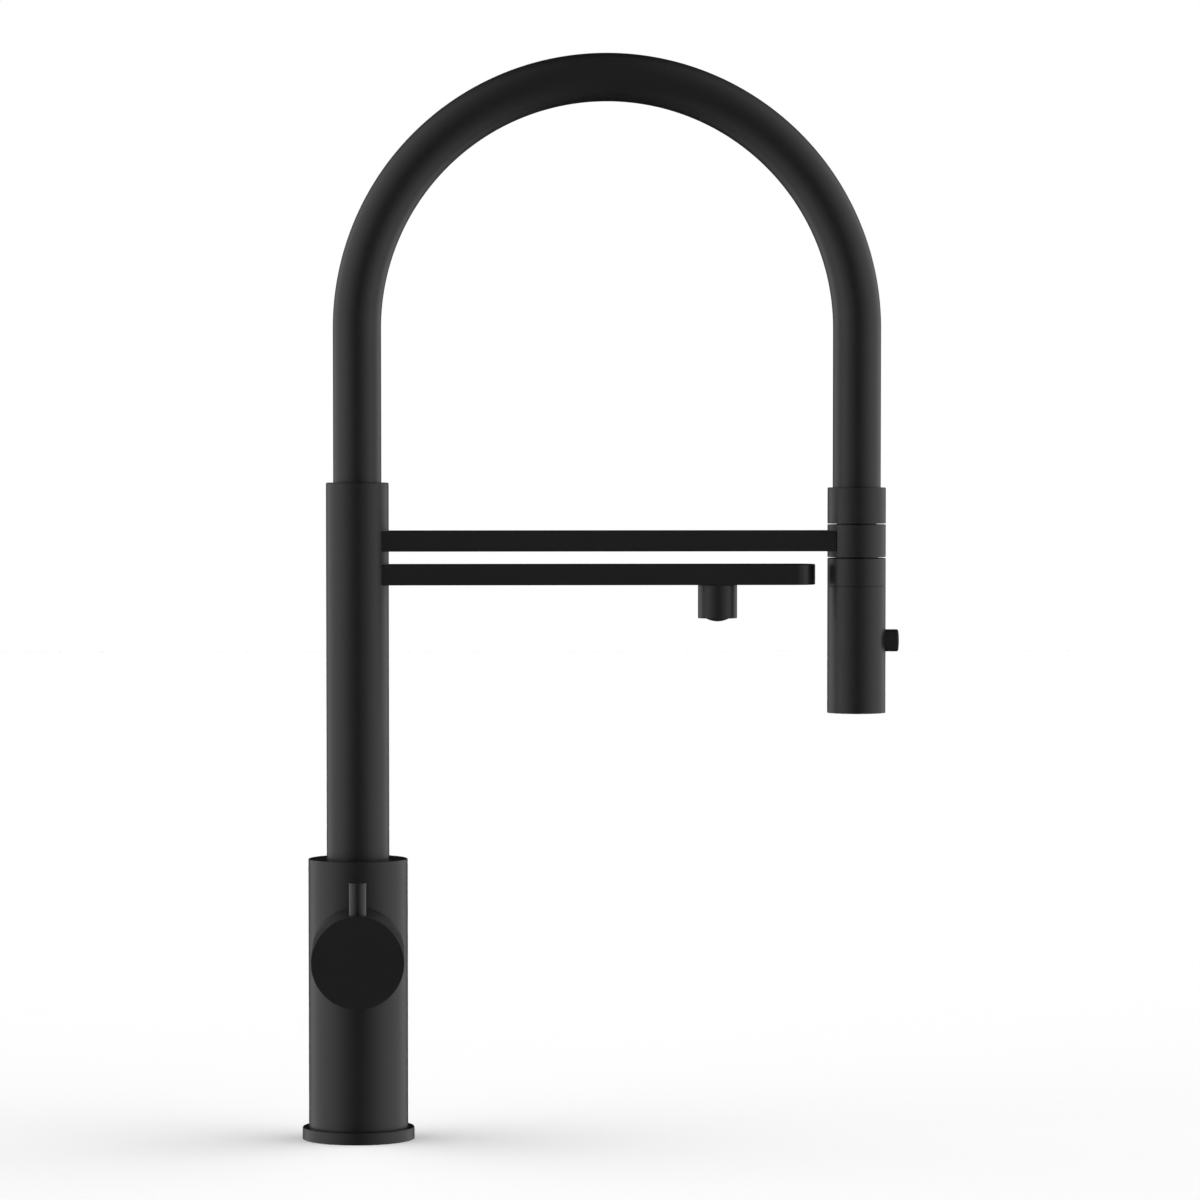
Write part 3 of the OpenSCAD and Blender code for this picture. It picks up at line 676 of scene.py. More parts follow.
def coil_formula() -> FormulaTree:
    """Winds a wire or a thread's ridge into a helix that rises along Z.

    Returns:
        The tree, whose sizes are in metres.
    """
    t = FormulaTree("wire_round_an_axis")
    turns, radius, rise, wire = (t.size(n) for n in ("Turns", "Coil Radius", "Rise", "Wire Radius"))
    sides, per_turn = (t.size(n, "NodeSocketInt") for n in ("Wire Sides", "Points A Turn"))
    place, lean = (t.size(n, "NodeSocketVector") for n in ("Place", "Lean"))
    helix = t.out("GeometryNodeCurveSpiral", {
        "Resolution": per_turn, "Rotations": turns, "Start Radius": radius, "End Radius": radius,
        "Height": rise,
    })
    upright = t.out("GeometryNodeSetCurveNormal", {"Curve": helix}, mode="Z_UP")
    hoop = t.out("GeometryNodeCurvePrimitiveCircle", {"Resolution": sides, "Radius": wire})
    wound = t.out("GeometryNodeCurveToMesh", {"Curve": upright, "Profile Curve": hoop, "Fill Caps": True})
    t.end(t.out("GeometryNodeTransform", {"Geometry": wound, "Translation": place, "Rotation": lean}))
    return t


def ring_formula() -> FormulaTree:
    """Sets copies of one small piece round two rings.

    Returns:
        The tree, whose sizes are in metres.
    """
    t = FormulaTree("pieces_round_two_rings")
    small = t.size("Small Piece", "NodeSocketObject")
    place = t.size("Place", "NodeSocketVector")
    source = t.node("GeometryNodeObjectInfo", {"Object": small}).outputs["Geometry"]
    both = t.node("GeometryNodeJoinGeometry")
    for ring in ("Inner", "Outer"):
        count = t.size(ring + " Count", "NodeSocketInt")
        radius = t.size(ring + " Radius")
        spots = t.out("GeometryNodeMeshCircle", {"Vertices": count, "Radius": radius})
        copies = t.out("GeometryNodeInstanceOnPoints", {"Points": spots, "Instance": source})
        t.tree.links.new(copies, both.inputs[0])
    t.end(t.out("GeometryNodeTransform", {"Geometry": both.outputs[0], "Translation": place}))
    return t


def lattice_formula() -> FormulaTree:
    """Lays crossed bars inside a circle, domed as in an aerator's outlet.

    Returns:
        The tree, whose sizes are in metres.
    """
    t = FormulaTree("bars_across_a_circle")
    radius, pitch, width, depth, dome = (
        t.size(n) for n in ("Radius", "Pitch", "Bar Width", "Bar Depth", "Dome")
    )
    count = t.size("Bars", "NodeSocketInt")
    place = t.size("Place", "NodeSocketVector")
    first = t.math("MULTIPLY", t.math("MULTIPLY", t.math("SUBTRACT", count, 1.0), pitch), -0.5)
    bar = t.out("GeometryNodeMeshCube", {"Size": (1, 1, 1), "Vertices X": 9})
    both = t.node("GeometryNodeJoinGeometry")
    for turn in (0.0, math.pi / 2):
        start = t.out("ShaderNodeCombineXYZ", {1: first})
        step = t.out("ShaderNodeCombineXYZ", {1: pitch})
        spots = t.out("GeometryNodeMeshLine", {"Count": count, "Start Location": start, "Offset": step})
        _, y, _ = t.node("ShaderNodeSeparateXYZ", {0: t.out("GeometryNodeInputPosition")}).outputs
        half = t.math("SQRT", t.math("SUBTRACT", t.math("MULTIPLY", radius, radius), t.math("MULTIPLY", y, y)))
        size = t.out("ShaderNodeCombineXYZ", {0: t.math("MULTIPLY", half, 2.0), 1: width, 2: depth})
        bars = t.out("GeometryNodeInstanceOnPoints", {"Points": spots, "Instance": bar, "Scale": size})
        crossed = t.out("GeometryNodeTransform", {"Geometry": bars, "Rotation": (0, 0, turn)})
        t.tree.links.new(crossed, both.inputs[0])
    real = t.out("GeometryNodeRealizeInstances", {"Geometry": both.outputs[0]})
    x, y, _ = t.node("ShaderNodeSeparateXYZ", {0: t.out("GeometryNodeInputPosition")}).outputs
    away = t.math("MULTIPLY_ADD", x, x, t.math("MULTIPLY", y, y))
    lift = t.out("ShaderNodeCombineXYZ", {2: t.math("MULTIPLY", away, dome)})
    domed = t.out("GeometryNodeSetPosition", {"Geometry": real, "Offset": lift})
    t.end(t.out("GeometryNodeTransform", {"Geometry": domed, "Translation": place}))
    return t


class Spring(NamedTuple):
    """A coil spring's sizes in mm, and the share of its length that its joint leaves it."""

    radius: float
    length: float
    wire: float
    lift: float
    keep: float


@dataclass
class Assembly:
    """What every sub-assembly shares."""

    finishes: Finishes

    def fit(self, piece: Piece, body: str, slot: str, *nodes: str) -> Piece:
        """Dresses a new piece, sets it on its body and lets it stand for CAD nodes.

        Args:
            piece: the new piece
            body: the CAD body that it moves with
            slot: the record's material slot
            nodes: the CAD nodes that it stands for

        Returns:
            The same piece.
        """
        piece.data.materials.clear()
        piece.data.materials.append(self.finishes.by_slot[slot])
        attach(piece, body)
        if nodes:
            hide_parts(*nodes)
        LOG.info("%s: %d faces on %s", piece.name, len(piece.data.polygons), body)
        return piece

    def turn(
        self, name: str, body: str, slot: str, node: str, corners: list[Corner], at: Vector = Vector(),
        sides: int = 128,
    ) -> Piece:
        """Turns a hollow piece round an upright axis and fits it.

        Args:
            name: the new piece's name
            body: the CAD body that it moves with
            slot: the record's material slot
            node: the CAD node that it stands for
            corners: its closed profile
            at: a point on its axis
            sides: points round it

        Returns:
            The new piece.
        """
        return self.fit(Shape().turned(corners, at, sides=sides, hollow=True).made(name), body, slot, node)

    def coil(self, name: str, spring: Spring, at: Triple, lean: float = 0.0) -> Piece:
        """Winds a spring of five turns.

        Args:
            name: the new piece's name
            spring: its sizes
            at: where its axis starts, in mm
            lean: how far it leans from Z towards X, in radians

        Returns:
            The spring, not dressed yet.
        """
        piece = coil_formula().grown(name, {
            "Turns": 5.0, "Coil Radius": spring.radius * MM, "Rise": spring.length * MM,
            "Wire Radius": spring.wire * MM, "Wire Sides": 10, "Points A Turn": 32,
            "Place": tuple(v * MM for v in at), "Lean": (0, lean, 0),
        })
        piece.data.shade_smooth()
        return piece

    def build(self) -> None:
        """Builds and dresses the sub-assembly's pieces."""
        raise NotImplementedError


@dataclass
class DeckFixing(Assembly):
    """The base plate and what clamps it under the worktop."""

    plate_r: float = 28.2
    plate_h: float = 6.1
    groove_r: float = 25.7
    groove_in_r: float = 21.7
    groove_h: float = 1.6
    shank_r: float = 16.5
    shank_bore_r: float = 14.5
    shank_low: float = -60.0
    shank_top: float = 16.1
    thread_pitch: float = 1.5
    thread_turns: float = 47.0
    thread_start: float = 1.2
    washer_r: float = 27.0
    washer_slack: float = 0.4
    soft_h: float = 3.0
    hard_h: float = 2.5
    worktop: float = 30.0

    def build(self) -> None:
        """Builds the plate, the seal, the threaded shank and the washers."""
        hole_r = self.shank_r + SEAT
        plate = [
            Corner(self.plate_r, 0, 0.25), Corner(self.plate_r, self.plate_h, 0.5),
            Corner(hole_r, self.plate_h, 0.1), Corner(hole_r, 0, 0.3),
            Corner(self.groove_in_r, 0), Corner(self.groove_in_r, self.groove_h),
            Corner(self.groove_r, self.groove_h), Corner(self.groove_r, 0),
        ]
        self.turn("plate", "base", "satin_black", "base_plate", plate, sides=192)
        seal = band(self.groove_r - SEAT, self.groove_in_r + SEAT, 0, self.groove_h, 0.3, 0.3, 0.3, 0.3)
        self.turn("plate_seal", "base", "rubber", "base_seal", seal)
        self.shank()
        top = -self.worktop
        bore_r = self.shank_r + self.washer_slack
        for name, node, slot, height, ease in (
            ("washer_soft", "rubber_washer", "rubber", self.soft_h, 0.5),
            ("washer_hard", "steel_washer", "steel", self.hard_h, 0.3),
        ):
            flat = band(self.washer_r, bore_r, top - height, top, ease, ease, 0.2, 0.2)
            self.turn(name, "base", slot, node, flat)
            top -= height

    def shank(self) -> None:
        """Builds the hollow shank with its thread."""
        root = self.shank_r - self.thread_pitch / 2
        tube = band(root + SEAT, self.shank_bore_r, self.shank_low, self.shank_top, 0, 0, 0, 0.4)
        self.turn("shank_tube", "base", "brass", "mounting_shank", tube)
        thread = coil_formula().grown("shank_thread", {
            "Turns": self.thread_turns, "Coil Radius": root * MM,
            "Rise": self.thread_turns * self.thread_pitch * MM,
            "Wire Radius": self.thread_pitch / 2 * MM, "Wire Sides": 4, "Points A Turn": 96,
            "Place": (0, 0, (self.shank_low + self.thread_start) * MM),
        })
        thread.data.shade_flat()
        self.fit(thread, "base", "brass")


@dataclass
class Body(Assembly):
    """The body's sleeve and the fixed collar behind the knob."""

    r: float = 25.0
    wall: float = 2.2
    low: float = 6.1
    top: float = 141.6
    row_h: float = 1.1
    rows: int = 121
    mouth_r: float = 16.05
    boss_r: float = 20.55
    collar_r: float = 23.05
    collar_front: float = 44.0
    boss_front: float = 43.45
    lip_r: float = 20.5
    lip_bore_r: float = 18.7
    lip_front: float = 46.0
    knob_z: float = 96.0
    screw_z: float = 132.975
    screw_r: float = 2.6
    boss_from: float = 4.0
    screw_from: float = 15.0
    outside: float = 30.0

    def build(self) -> None:
        """Builds the sleeve with its openings, and the collar that fits it."""
        inner = self.r - self.wall
        inside = self.top - self.wall
        # The rows up the wall keep the faces beside the openings small.
        shell = [Corner(self.r, self.low)]
        shell += [Corner(self.r, self.low + k * self.row_h) for k in range(1, self.rows + 1)]
        shell += [
            Corner(self.r, self.top, 0.5), Corner(self.mouth_r, self.top, 0.25), Corner(self.mouth_r, inside),
            Corner(inner, inside), Corner(inner, self.low),
        ]
        sleeve = Shape().turned(shell, sides=192, hollow=True).made("sleeve")
        carved(sleeve, drill(self.boss_r, self.boss_from, self.outside, Vector((0, 0, self.knob_z)), Way.KNOB))
        spot = Vector((0, 0, self.screw_z))
        carved(sleeve, drill(self.screw_r, self.screw_from, self.outside, spot, Way.BACK, 48))
        self.fit(sleeve, "base", "satin_black", "body_sleeve")
        self.collar()

    def collar(self) -> None:
        """Builds the collar, whose back follows the body's round side and whose lip reaches into the knob."""
        sides = 192
        edge = [
            Corner(self.collar_r, 0), Corner(self.collar_r, self.collar_front, 0.25),
            Corner(self.lip_r, self.collar_front, 0.1), Corner(self.lip_r, self.lip_front, 0.2),
            Corner(self.lip_bore_r, self.lip_front, 0.1), Corner(self.lip_bore_r, self.boss_front),
            Corner(self.boss_r, self.boss_front), Corner(self.boss_r, 0),
        ]
        front = rounded(edge, False)[1:-1]

        def point(r: float, turn: float, out: float | None = None) -> Vector:
            """Finds a point of the collar.

            Args:
                r: its distance from the knob's axis
                turn: its angle round that axis
                out: its distance from the body's axis, or None on the body

            Returns:
                The point.
            """
            x = r * math.cos(turn)
            away = math.sqrt(self.r ** 2 - x * x) if out is None else out
            return Vector((x, -away, self.knob_z + r * math.sin(turn)))

        turns = [math.tau * i / sides for i in range(sides)]
        foot = [point(self.collar_r, a) for a in turns]
        head = [point(self.collar_r, a, front[0][1]) for a in turns]
        rows = [foot] + [[p.lerp(q, share) for p, q in zip(foot, head)] for share in (0.25, 0.5, 0.75)]
        rows += [[point(r, a, out) for a in turns] for r, out in front]
        rows.append([point(self.boss_r, a) for a in turns])
        rows.append([point((self.boss_r + self.collar_r) / 2, a) for a in turns])
        self.fit(Shape().skin(rows, closed=True).made("collar"), "base", "satin_black", "cartridge_collar")


@dataclass
class KnobSide(Assembly):
    """The turning knob and its pin lever."""

    r: float = 23.05
    back: float = 44.6
    front: float = 75.0
    rows: int = 29
    cavity_r: float = 20.9
    socket_r: float = 7.0
    socket_back: float = 56.0
    face_r: float = 8.0
    face_h: float = 6.0
    axis_z: float = 96.0
    pin_r: float = 4.25
    pin_tip_r: float = 0.8
    pin_at: float = 63.5
    pin_low: float = 22.0
    pin_top: float = 38.6
    plug_r: float = 2.9
    plug_at: float = 62.0
    plug_under: float = 2.0
    plug_h: float = 5.5

    def build(self) -> None:
        """Builds the knob with its plug's hole, and the pin."""
        shell = [Corner(self.r, self.back, 0.25)]
        shell += [Corner(self.r, self.back + k) for k in range(1, self.rows + 1)]
        shell += [
            Corner(self.r, self.front, 0.5), Corner(self.socket_r, self.front),
            Corner(self.socket_r, self.socket_back), Corner(self.cavity_r, self.socket_back),
            Corner(self.cavity_r, self.back, 0.2),
        ]
        at = Vector((0, 0, self.axis_z))
        face = drill(self.face_r, self.front - self.face_h, self.front, at, Way.KNOB, 192)
        knob = carved(Shape().turned(shell, at, Way.KNOB, 192, hollow=True).made("knob_cap"), face, Cut.JOIN)
        seat = Vector((0, -self.plug_at, self.axis_z - self.r - self.plug_under))
        carved(knob, drill(self.plug_r, 0, self.plug_h, seat, Way.UP, 48))
        self.fit(knob, "handle", "satin_black", "knob")
        rod = [
            Corner(self.pin_r, self.pin_low), Corner(self.pin_r, self.pin_top, 0.4),
            Corner(self.pin_tip_r, self.pin_top),
        ]
        foot = Vector((0, -self.pin_at, self.axis_z))
        self.fit(Shape().turned(rod, foot, Way.UP, 96).made("pin"), "handle", "satin_black", "pin_lever")


@dataclass
class PostAndArch(Assembly):
    """The post, the arched tube and the collar at its end."""

    post_r: float = 15.75
    post_bore_r: float = 13.95
    post_low: float = 128.1
    post_top: float = 330.7
    tube_r: float = 12.11
    tube_wall: float = 1.9
    tube_foot: float = 311.0
    socket_foot: float = 309.0
    socket_sink: float = 0.2
    arch_z: float = 408.0
    mouth_z: float = 312.475
    reach: float = 251.4
    collar_r: float = 14.7
    collar_low: float = 310.075
    collar_lip: float = 2.4
    collar_top: float = 328.175
    spigot_r: float = 10.0
    spigot_bore_r: float = 6.6
    spigot_low: float = 301.675
    sleeve_h: float = 13.5

    def build(self) -> None:
        """Builds the post, the tube's socket, the arch, the collar and its spigot."""
        post = band(self.post_r, self.post_bore_r, self.post_low, self.post_top, 0, 0.7, 0.2, 0)
        self.turn("post", "spout", "satin_black", "riser_post", post, sides=192)
        top = self.post_top - self.socket_sink
        bore_r, hole_r = self.tube_r - self.tube_wall, self.tube_r + SEAT
        socket = [
            Corner(self.post_bore_r - SEAT, self.socket_foot), Corner(self.post_bore_r - SEAT, top, 0.3),
            Corner(hole_r, top, 0.3), Corner(hole_r, self.tube_foot), Corner(bore_r, self.tube_foot),
            Corner(bore_r, self.socket_foot),
        ]
        self.turn("socket", "spout", "satin_black", "tube_socket", socket, sides=160)
        self.arch()
        at = Vector((self.reach, 0, 0))
        low, lip, top = self.collar_low, self.collar_low + self.collar_lip, self.collar_top
        collar = [
            Corner(self.collar_r, low, 0.25), Corner(self.collar_r, top, 0.5), Corner(hole_r, top, 0.2),
            Corner(hole_r, lip), Corner(self.spigot_r + SEAT, lip), Corner(self.spigot_r + SEAT, low),
        ]
        self.turn("end_collar", "spout", "satin_black", "tube_collar", collar, at, 160)
        low, top = self.spigot_low, lip + self.sleeve_h
        sleeve = [
            Corner(self.spigot_r, low, 0.3), Corner(self.spigot_r, lip), Corner(bore_r - SEAT, lip),
            Corner(bore_r - SEAT, top), Corner(self.spigot_bore_r, top), Corner(self.spigot_bore_r, low, 0.4),
        ]
        self.turn("end_spigot", "spout", "satin_black", "tube_spigot", sleeve, at)

    def arch(self) -> None:
        """Grows the arched tube from its formula and gives it its wall."""

        def wall(piece: Piece) -> None:
            """Thickens the tube's skin inwards.

            Args:
                piece: the tube
            """
            skin = piece.modifiers.new("wall", "SOLIDIFY")
            skin.thickness = self.tube_wall * MM
            skin.offset = -1.0

        tube = arch_formula().grown("arch", {
            "Reach": self.reach * MM, "Foot": self.tube_foot * MM, "Arch Height": self.arch_z * MM,
            "Mouth": self.mouth_z * MM, "Tube Radius": self.tube_r * MM, "Rings": 241, "Sides": 128,
        }, wall)
        self.fit(settle(tube), "spout", "satin_black", "arch_tube")


@dataclass
class Arms(Assembly):
    """The docking arm with its ring, and the spout arm with its aerator."""

    width: float = 20.15
    height: float = 10.35
    edge: float = 0.5
    post_r: float = 15.75
    reach: float = 251.4
    dock_z: float = 296.2
    dock_side_gap: float = 0.6
    dock_mid_gap: float = 0.2
    ring_r: float = 14.7
    ring_bore_r: float = 12.0
    ring_low: float = 293.175
    ring_top: float = 309.575
    bush_bore_r: float = 10.05
    spout_z: float = 279.3
    tip_x: float = 230.5
    aerator_x: float = 181.2
    aerator_r: float = 9.875
    aerator_wall: float = 1.15
    aerator_low: float = 262.4
    aerator_roof: float = 4.0
    inlet_r: float = 4.95
    insert_sink: float = 0.4
    insert_under: float = 5.6
    throat_r: float = 3.2
    throat_low: float = 2.6
    dome_r: float = 6.0
    dome_h: float = 1.7
    dome_rings: int = 8
    outlet_r: float = 3.45
    lattice_bars: int = 7
    lattice_pitch: float = 0.95
    lattice_width: float = 0.28
    lattice_depth: float = 1.2
    lattice_lift: float = 0.65

    def build(self) -> None:
        """Builds both arms, the ring's bush and the aerator."""
        half = self.width / 2
        toe = math.sqrt(self.ring_r ** 2 - half ** 2)
        side_x = self.reach - toe - self.dock_side_gap
        sag = toe - self.ring_r + self.dock_side_gap - self.dock_mid_gap
        end = [(side_x + sag * math.cos(a) ** 2, half * math.sin(a)) for a in fan(24)]
        bar = self.bar(end, self.dock_z, "dock")
        ring = band(self.ring_r, self.ring_bore_r, self.ring_low, self.ring_top, 0.25, 0.25, 0, 0)
        at = Vector((self.reach, 0, 0))
        hoop = Shape().turned(ring, at, sides=160, hollow=True).made("ring")
        self.fit(joined("dock", bar, hoop), "spout", "satin_black", "docking_arm")
        bush = band(
            self.ring_bore_r - SEAT, self.bush_bore_r, self.ring_low, self.ring_top, 0.2, 0.2, 0.2, 0.2
        )
        self.turn("ring_bush", "spout", "black_plastic", "dock_bush", bush, at)
        tip = [(self.tip_x - half + half * math.cos(a), half * math.sin(a)) for a in fan(48)]
        self.fit(self.bar(tip, self.spout_z, "outlet_arm"), "spout", "satin_black", "spout_arm")
        self.aerator()

    def bar(self, end: list[tuple[float, float]], low: float, name: str) -> Piece:
        """Builds an arm from the post to an end outline, with eased edges.

        Args:
            end: the far end's outline, from -Y to +Y
            low: the underside's height
            name: the piece's name

        Returns:
            The arm.
        """
        across = [self.width / 2 * math.sin(a) for a in reversed(fan(24))]
        plan = [(math.sqrt(self.post_r ** 2 - y * y) - 0.01, y, False) for y in across]
        plan += [(x, y, True) for x, y in end]
        rows = []
        for slope in (k * math.pi / 8 for k in range(5)):
            inset = self.edge * (1 - math.sin(slope))
            rows.append(self.row_of(plan, inset, low + self.edge * (1 - math.cos(slope))))
        rows += [[Vector((p.x, p.y, 2 * low + self.height - p.z)) for p in row] for row in reversed(rows)]
        return Shape().skin(rows, capped=True).made(name)

    def row_of(self, plan: list[tuple[float, float, bool]], inset: float, z: float) -> list[Vector]:
        """Draws the arm's plan at one height.

        Args:
            plan: x, y and whether the point is on the far end
            inset: how far the edge is eased at this height
            z: the height

        Returns:
            A row of points.
        """
        half = self.width / 2
        squeeze = (half - inset) / half
        end_x = max(x for x, _, far in plan if far)
        row = []
        for x, y, far in plan:
            near = max(0.0, (x - (end_x - half)) / half) if far else 0.0
            row.append(Vector((x - inset * near, y * squeeze, z)))
        return row

    def aerator(self) -> None:
        """Builds the aerator's housing, its insert and the outlet's lattice."""
        at = Vector((self.aerator_x, 0, 0))
        bore_r, roof = self.aerator_r - self.aerator_wall, self.spout_z - self.aerator_roof
        housing = [
            Corner(self.aerator_r, self.aerator_low, 0.3), Corner(self.aerator_r, self.spout_z, 0.25),
            Corner(self.inlet_r, self.spout_z), Corner(self.inlet_r, roof), Corner(bore_r, roof),
            Corner(bore_r, self.aerator_low, 0.2),
        ]
        self.turn("aerator_shell", "spout", "satin_black", "aerator_housing", housing, at, 160)
        face, top = self.aerator_low + self.insert_sink, self.spout_z - self.insert_under
        step = face + self.throat_low
        insert = [
            Corner(bore_r - SEAT, face, 0.3), Corner(bore_r - SEAT, top), Corner(self.throat_r, top),
            Corner(self.throat_r, step), Corner(self.outlet_r, step),
        ]
        widen = (self.dome_r - self.outlet_r) / self.dome_rings
        for r in (self.outlet_r + k * widen for k in range(self.dome_rings + 1)):
            insert.append(Corner(r, self.dome(r)))
        insert.append(Corner(self.dome_r + 0.1, face))
        self.turn("aerator_core", "spout", "black_plastic", "aerator_insert", insert, at)
        lattice = lattice_formula().grown("aerator_lattice", {
            "Radius": (self.outlet_r + SEAT) * MM, "Pitch": self.lattice_pitch * MM,
            "Bar Width": self.lattice_width * MM, "Bar Depth": self.lattice_depth * MM,
            "Dome": self.dome_h / self.dome_r ** 2 / MM, "Bars": self.lattice_bars,
            "Place": (self.aerator_x * MM, 0, (self.dome(0) + self.lattice_lift) * MM),
        })
        self.fit(lattice, "spout", "black_plastic")

    def dome(self, r: float) -> float:
        """Args: r: a distance from the aerator's axis. Returns: the height of its domed tip there."""
        return self.aerator_low - self.dome_h * (1 - (r / self.dome_r) ** 2)


@dataclass
class SprayHead(Assembly):
    """The pull-down spray head with its button."""

    at_x: float = 251.4
    r: float = 14.7
    bore_r: float = 13.3
    low: float = 214.575
    row_h: float = 0.7
    rows: int = 88
    seam: float = 278.675
    top: float = 292.675
    lid: float = 2.0
    nut_r: float = 10.0
    pocket_r: float = 5.8
    pocket_from: float = 4.0
    outside: float = 20.0
    button_z: float = 251.075
    button_r: float = 5.6
    button_wall: float = 1.2
    button_back: float = 12.8
    button_front: float = 21.09
    button_roof: float = 1.8
    middle_r: float = 2.4
    stem_sink: float = 1.75
    spring_back: float = 9.0
    spring: Spring = Spring(3.3, 9.1, 0.35, 0.45, 0.66)
    face_low: float = 215.375
    mat_low: float = 218.975
    mat_h: float = 1.0
    mat_slack: float = 0.2
    mat_hole_r: float = 4.05
    nozzle_r: float = 0.75
    nozzle_bore_r: float = 0.3
    nozzle_out: float = 0.5
    nozzle_root: float = 0.1
    inner_ring: tuple[int, float] = (9, 6.4)
    outer_ring: tuple[int, float] = (14, 9.7)

    def build(self) -> None:
        """Builds the shells, with the cap's hole for the nut, the nozzles and the button."""
        at = Vector((self.at_x, 0, 0))
        under, hole_r = self.top - self.lid, self.nut_r + SEAT
        cap = [
            Corner(self.r, self.seam, 0.25), Corner(self.r, self.top, 0.5), Corner(hole_r, self.top, 0.1),
            Corner(hole_r, under), Corner(self.bore_r, under), Corner(self.bore_r, self.seam),
        ]
        self.turn("head_cap", "head", "satin_black", "head_top", cap, at, 160)
        # The rows up the shell keep the faces beside the button's pocket small.
        shell = [Corner(self.r, self.low, 0.25)]
        shell += [Corner(self.r, self.low + 1 + k * self.row_h) for k in range(self.rows)]
        shell += [
            Corner(self.r, self.seam, 0.25), Corner(self.bore_r, self.seam), Corner(self.bore_r, self.low, 0.2),
        ]
        body = Shape().turned(shell, at, sides=192, hollow=True).made("head_body")
        spot = Vector((self.at_x, 0, self.button_z))
        carved(body, drill(self.pocket_r, self.pocket_from, self.outside, spot, Way.HEAD, 96))
        self.fit(body, "head", "satin_black", "head_shell")
        self.button(spot)
        self.nozzles(at)

    def button(self, spot: Vector) -> None:
        """Builds the button's cap with its spool, and its coil.

        Args:
            spot: where the button's axis crosses the head's
        """
        roof, bore_r = self.button_front - self.button_roof, self.button_r - self.button_wall
        cap = [
            Corner(self.button_r, self.button_back), Corner(self.button_r, self.button_front, 0.8),
            Corner(self.middle_r, self.button_front), Corner(self.middle_r, roof), Corner(bore_r, roof),
            Corner(bore_r, self.button_back),
        ]
        piece = carved(
            Shape().turned(cap, spot, Way.HEAD, 96, hollow=True).made("button_cap"),
            drill(self.middle_r + 0.1, roof, self.button_front, spot, Way.HEAD, 48), Cut.JOIN,
        )
        land, groove, neck, rod = 2.95, 2.25, 1.2, 1.8
        spool = [Corner(r, h) for r, h in (
            (land, -5.1), (groove, -5.1), (groove, -4.3), (land, -4.3), (land, 2.1), (neck, 2.1), (neck, 6.6),
            (land, 6.6), (land, 7.4), (groove, 7.4), (groove, 8.2), (land, 8.2), (land, self.spring_back),
            (rod, self.spring_back), (rod, self.button_front - self.stem_sink),
        )]
        stem = Shape().turned([Corner(land, -6.5, 0.2)] + spool, spot, Way.HEAD, 64).made("stem")
        self.fit(joined("button_cap", piece, stem), "button", "satin_black", "button")
        back = self.at_x + self.spring_back
        coil = self.coil("button_coil", self.spring, (back + self.spring.lift, 0, self.button_z), math.pi / 2)
        self.fit(coil, "head", "steel", "button_spring")
        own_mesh(coil)

    def nozzles(self, at: Vector) -> None:
        """Builds the rubber mat with its two rings of nozzles.

        Args:
            at: a point on the head's axis
        """
        rim = self.bore_r - self.mat_slack
        sheet = band(rim, self.mat_hole_r, self.mat_low, self.mat_low + self.mat_h, 0, 0, 0, 0)
        mat = Shape().turned(sheet, at, hollow=True).made("mat_sheet")
        tall = self.mat_low - self.face_low + self.nozzle_out + self.nozzle_root
        nib = band(self.nozzle_r, self.nozzle_bore_r, 0, tall, 0.1, 0, 0, 0.05)
        small = Shape().turned(nib, sides=20, hollow=True).made("nib")
        field = ring_formula().grown("mat_nozzles", {
            "Small Piece": small, "Inner Count": self.inner_ring[0], "Inner Radius": self.inner_ring[1] * MM,
            "Outer Count": self.outer_ring[0], "Outer Radius": self.outer_ring[1] * MM,
            "Place": (self.at_x * MM, 0, (self.face_low - self.nozzle_out) * MM),
        })
        bpy.data.objects.remove(small)
        self.fit(joined("mat", mat, settle(field)), "head", "rubber", "nozzle_mat")


@dataclass
class WaterWay(Assembly):
    """The diverter's coil."""

    at_y: float = 11.85
    low: float = 100.6
    spring: Spring = Spring(2.5, 8.6, 0.4, 0.45, 0.72)

    def build(self) -> None:
        """Winds the diverter's spring."""
        coil = self.coil("diverter_coil", self.spring, (0, self.at_y, self.low + self.spring.lift))
        self.fit(coil, "base", "steel", "diverter_spring")
        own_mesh(coil)


@dataclass
class KeptNodes(Assembly):
    """The CAD nodes whose shape is right as it is."""

    def build(self) -> None:
        """Gives each CAD node its finish."""
        for row in frame["record"]["subparts"]:
            name = row["node"]
            material = self.finishes.braids.get(name, self.finishes.by_slot[row["material_slot"]])
            materials = frame["nodes"][name].data.materials
            materials.clear()
            materials.append(material)
            LOG.info("%s keeps its mesh in %s", name, material.name)


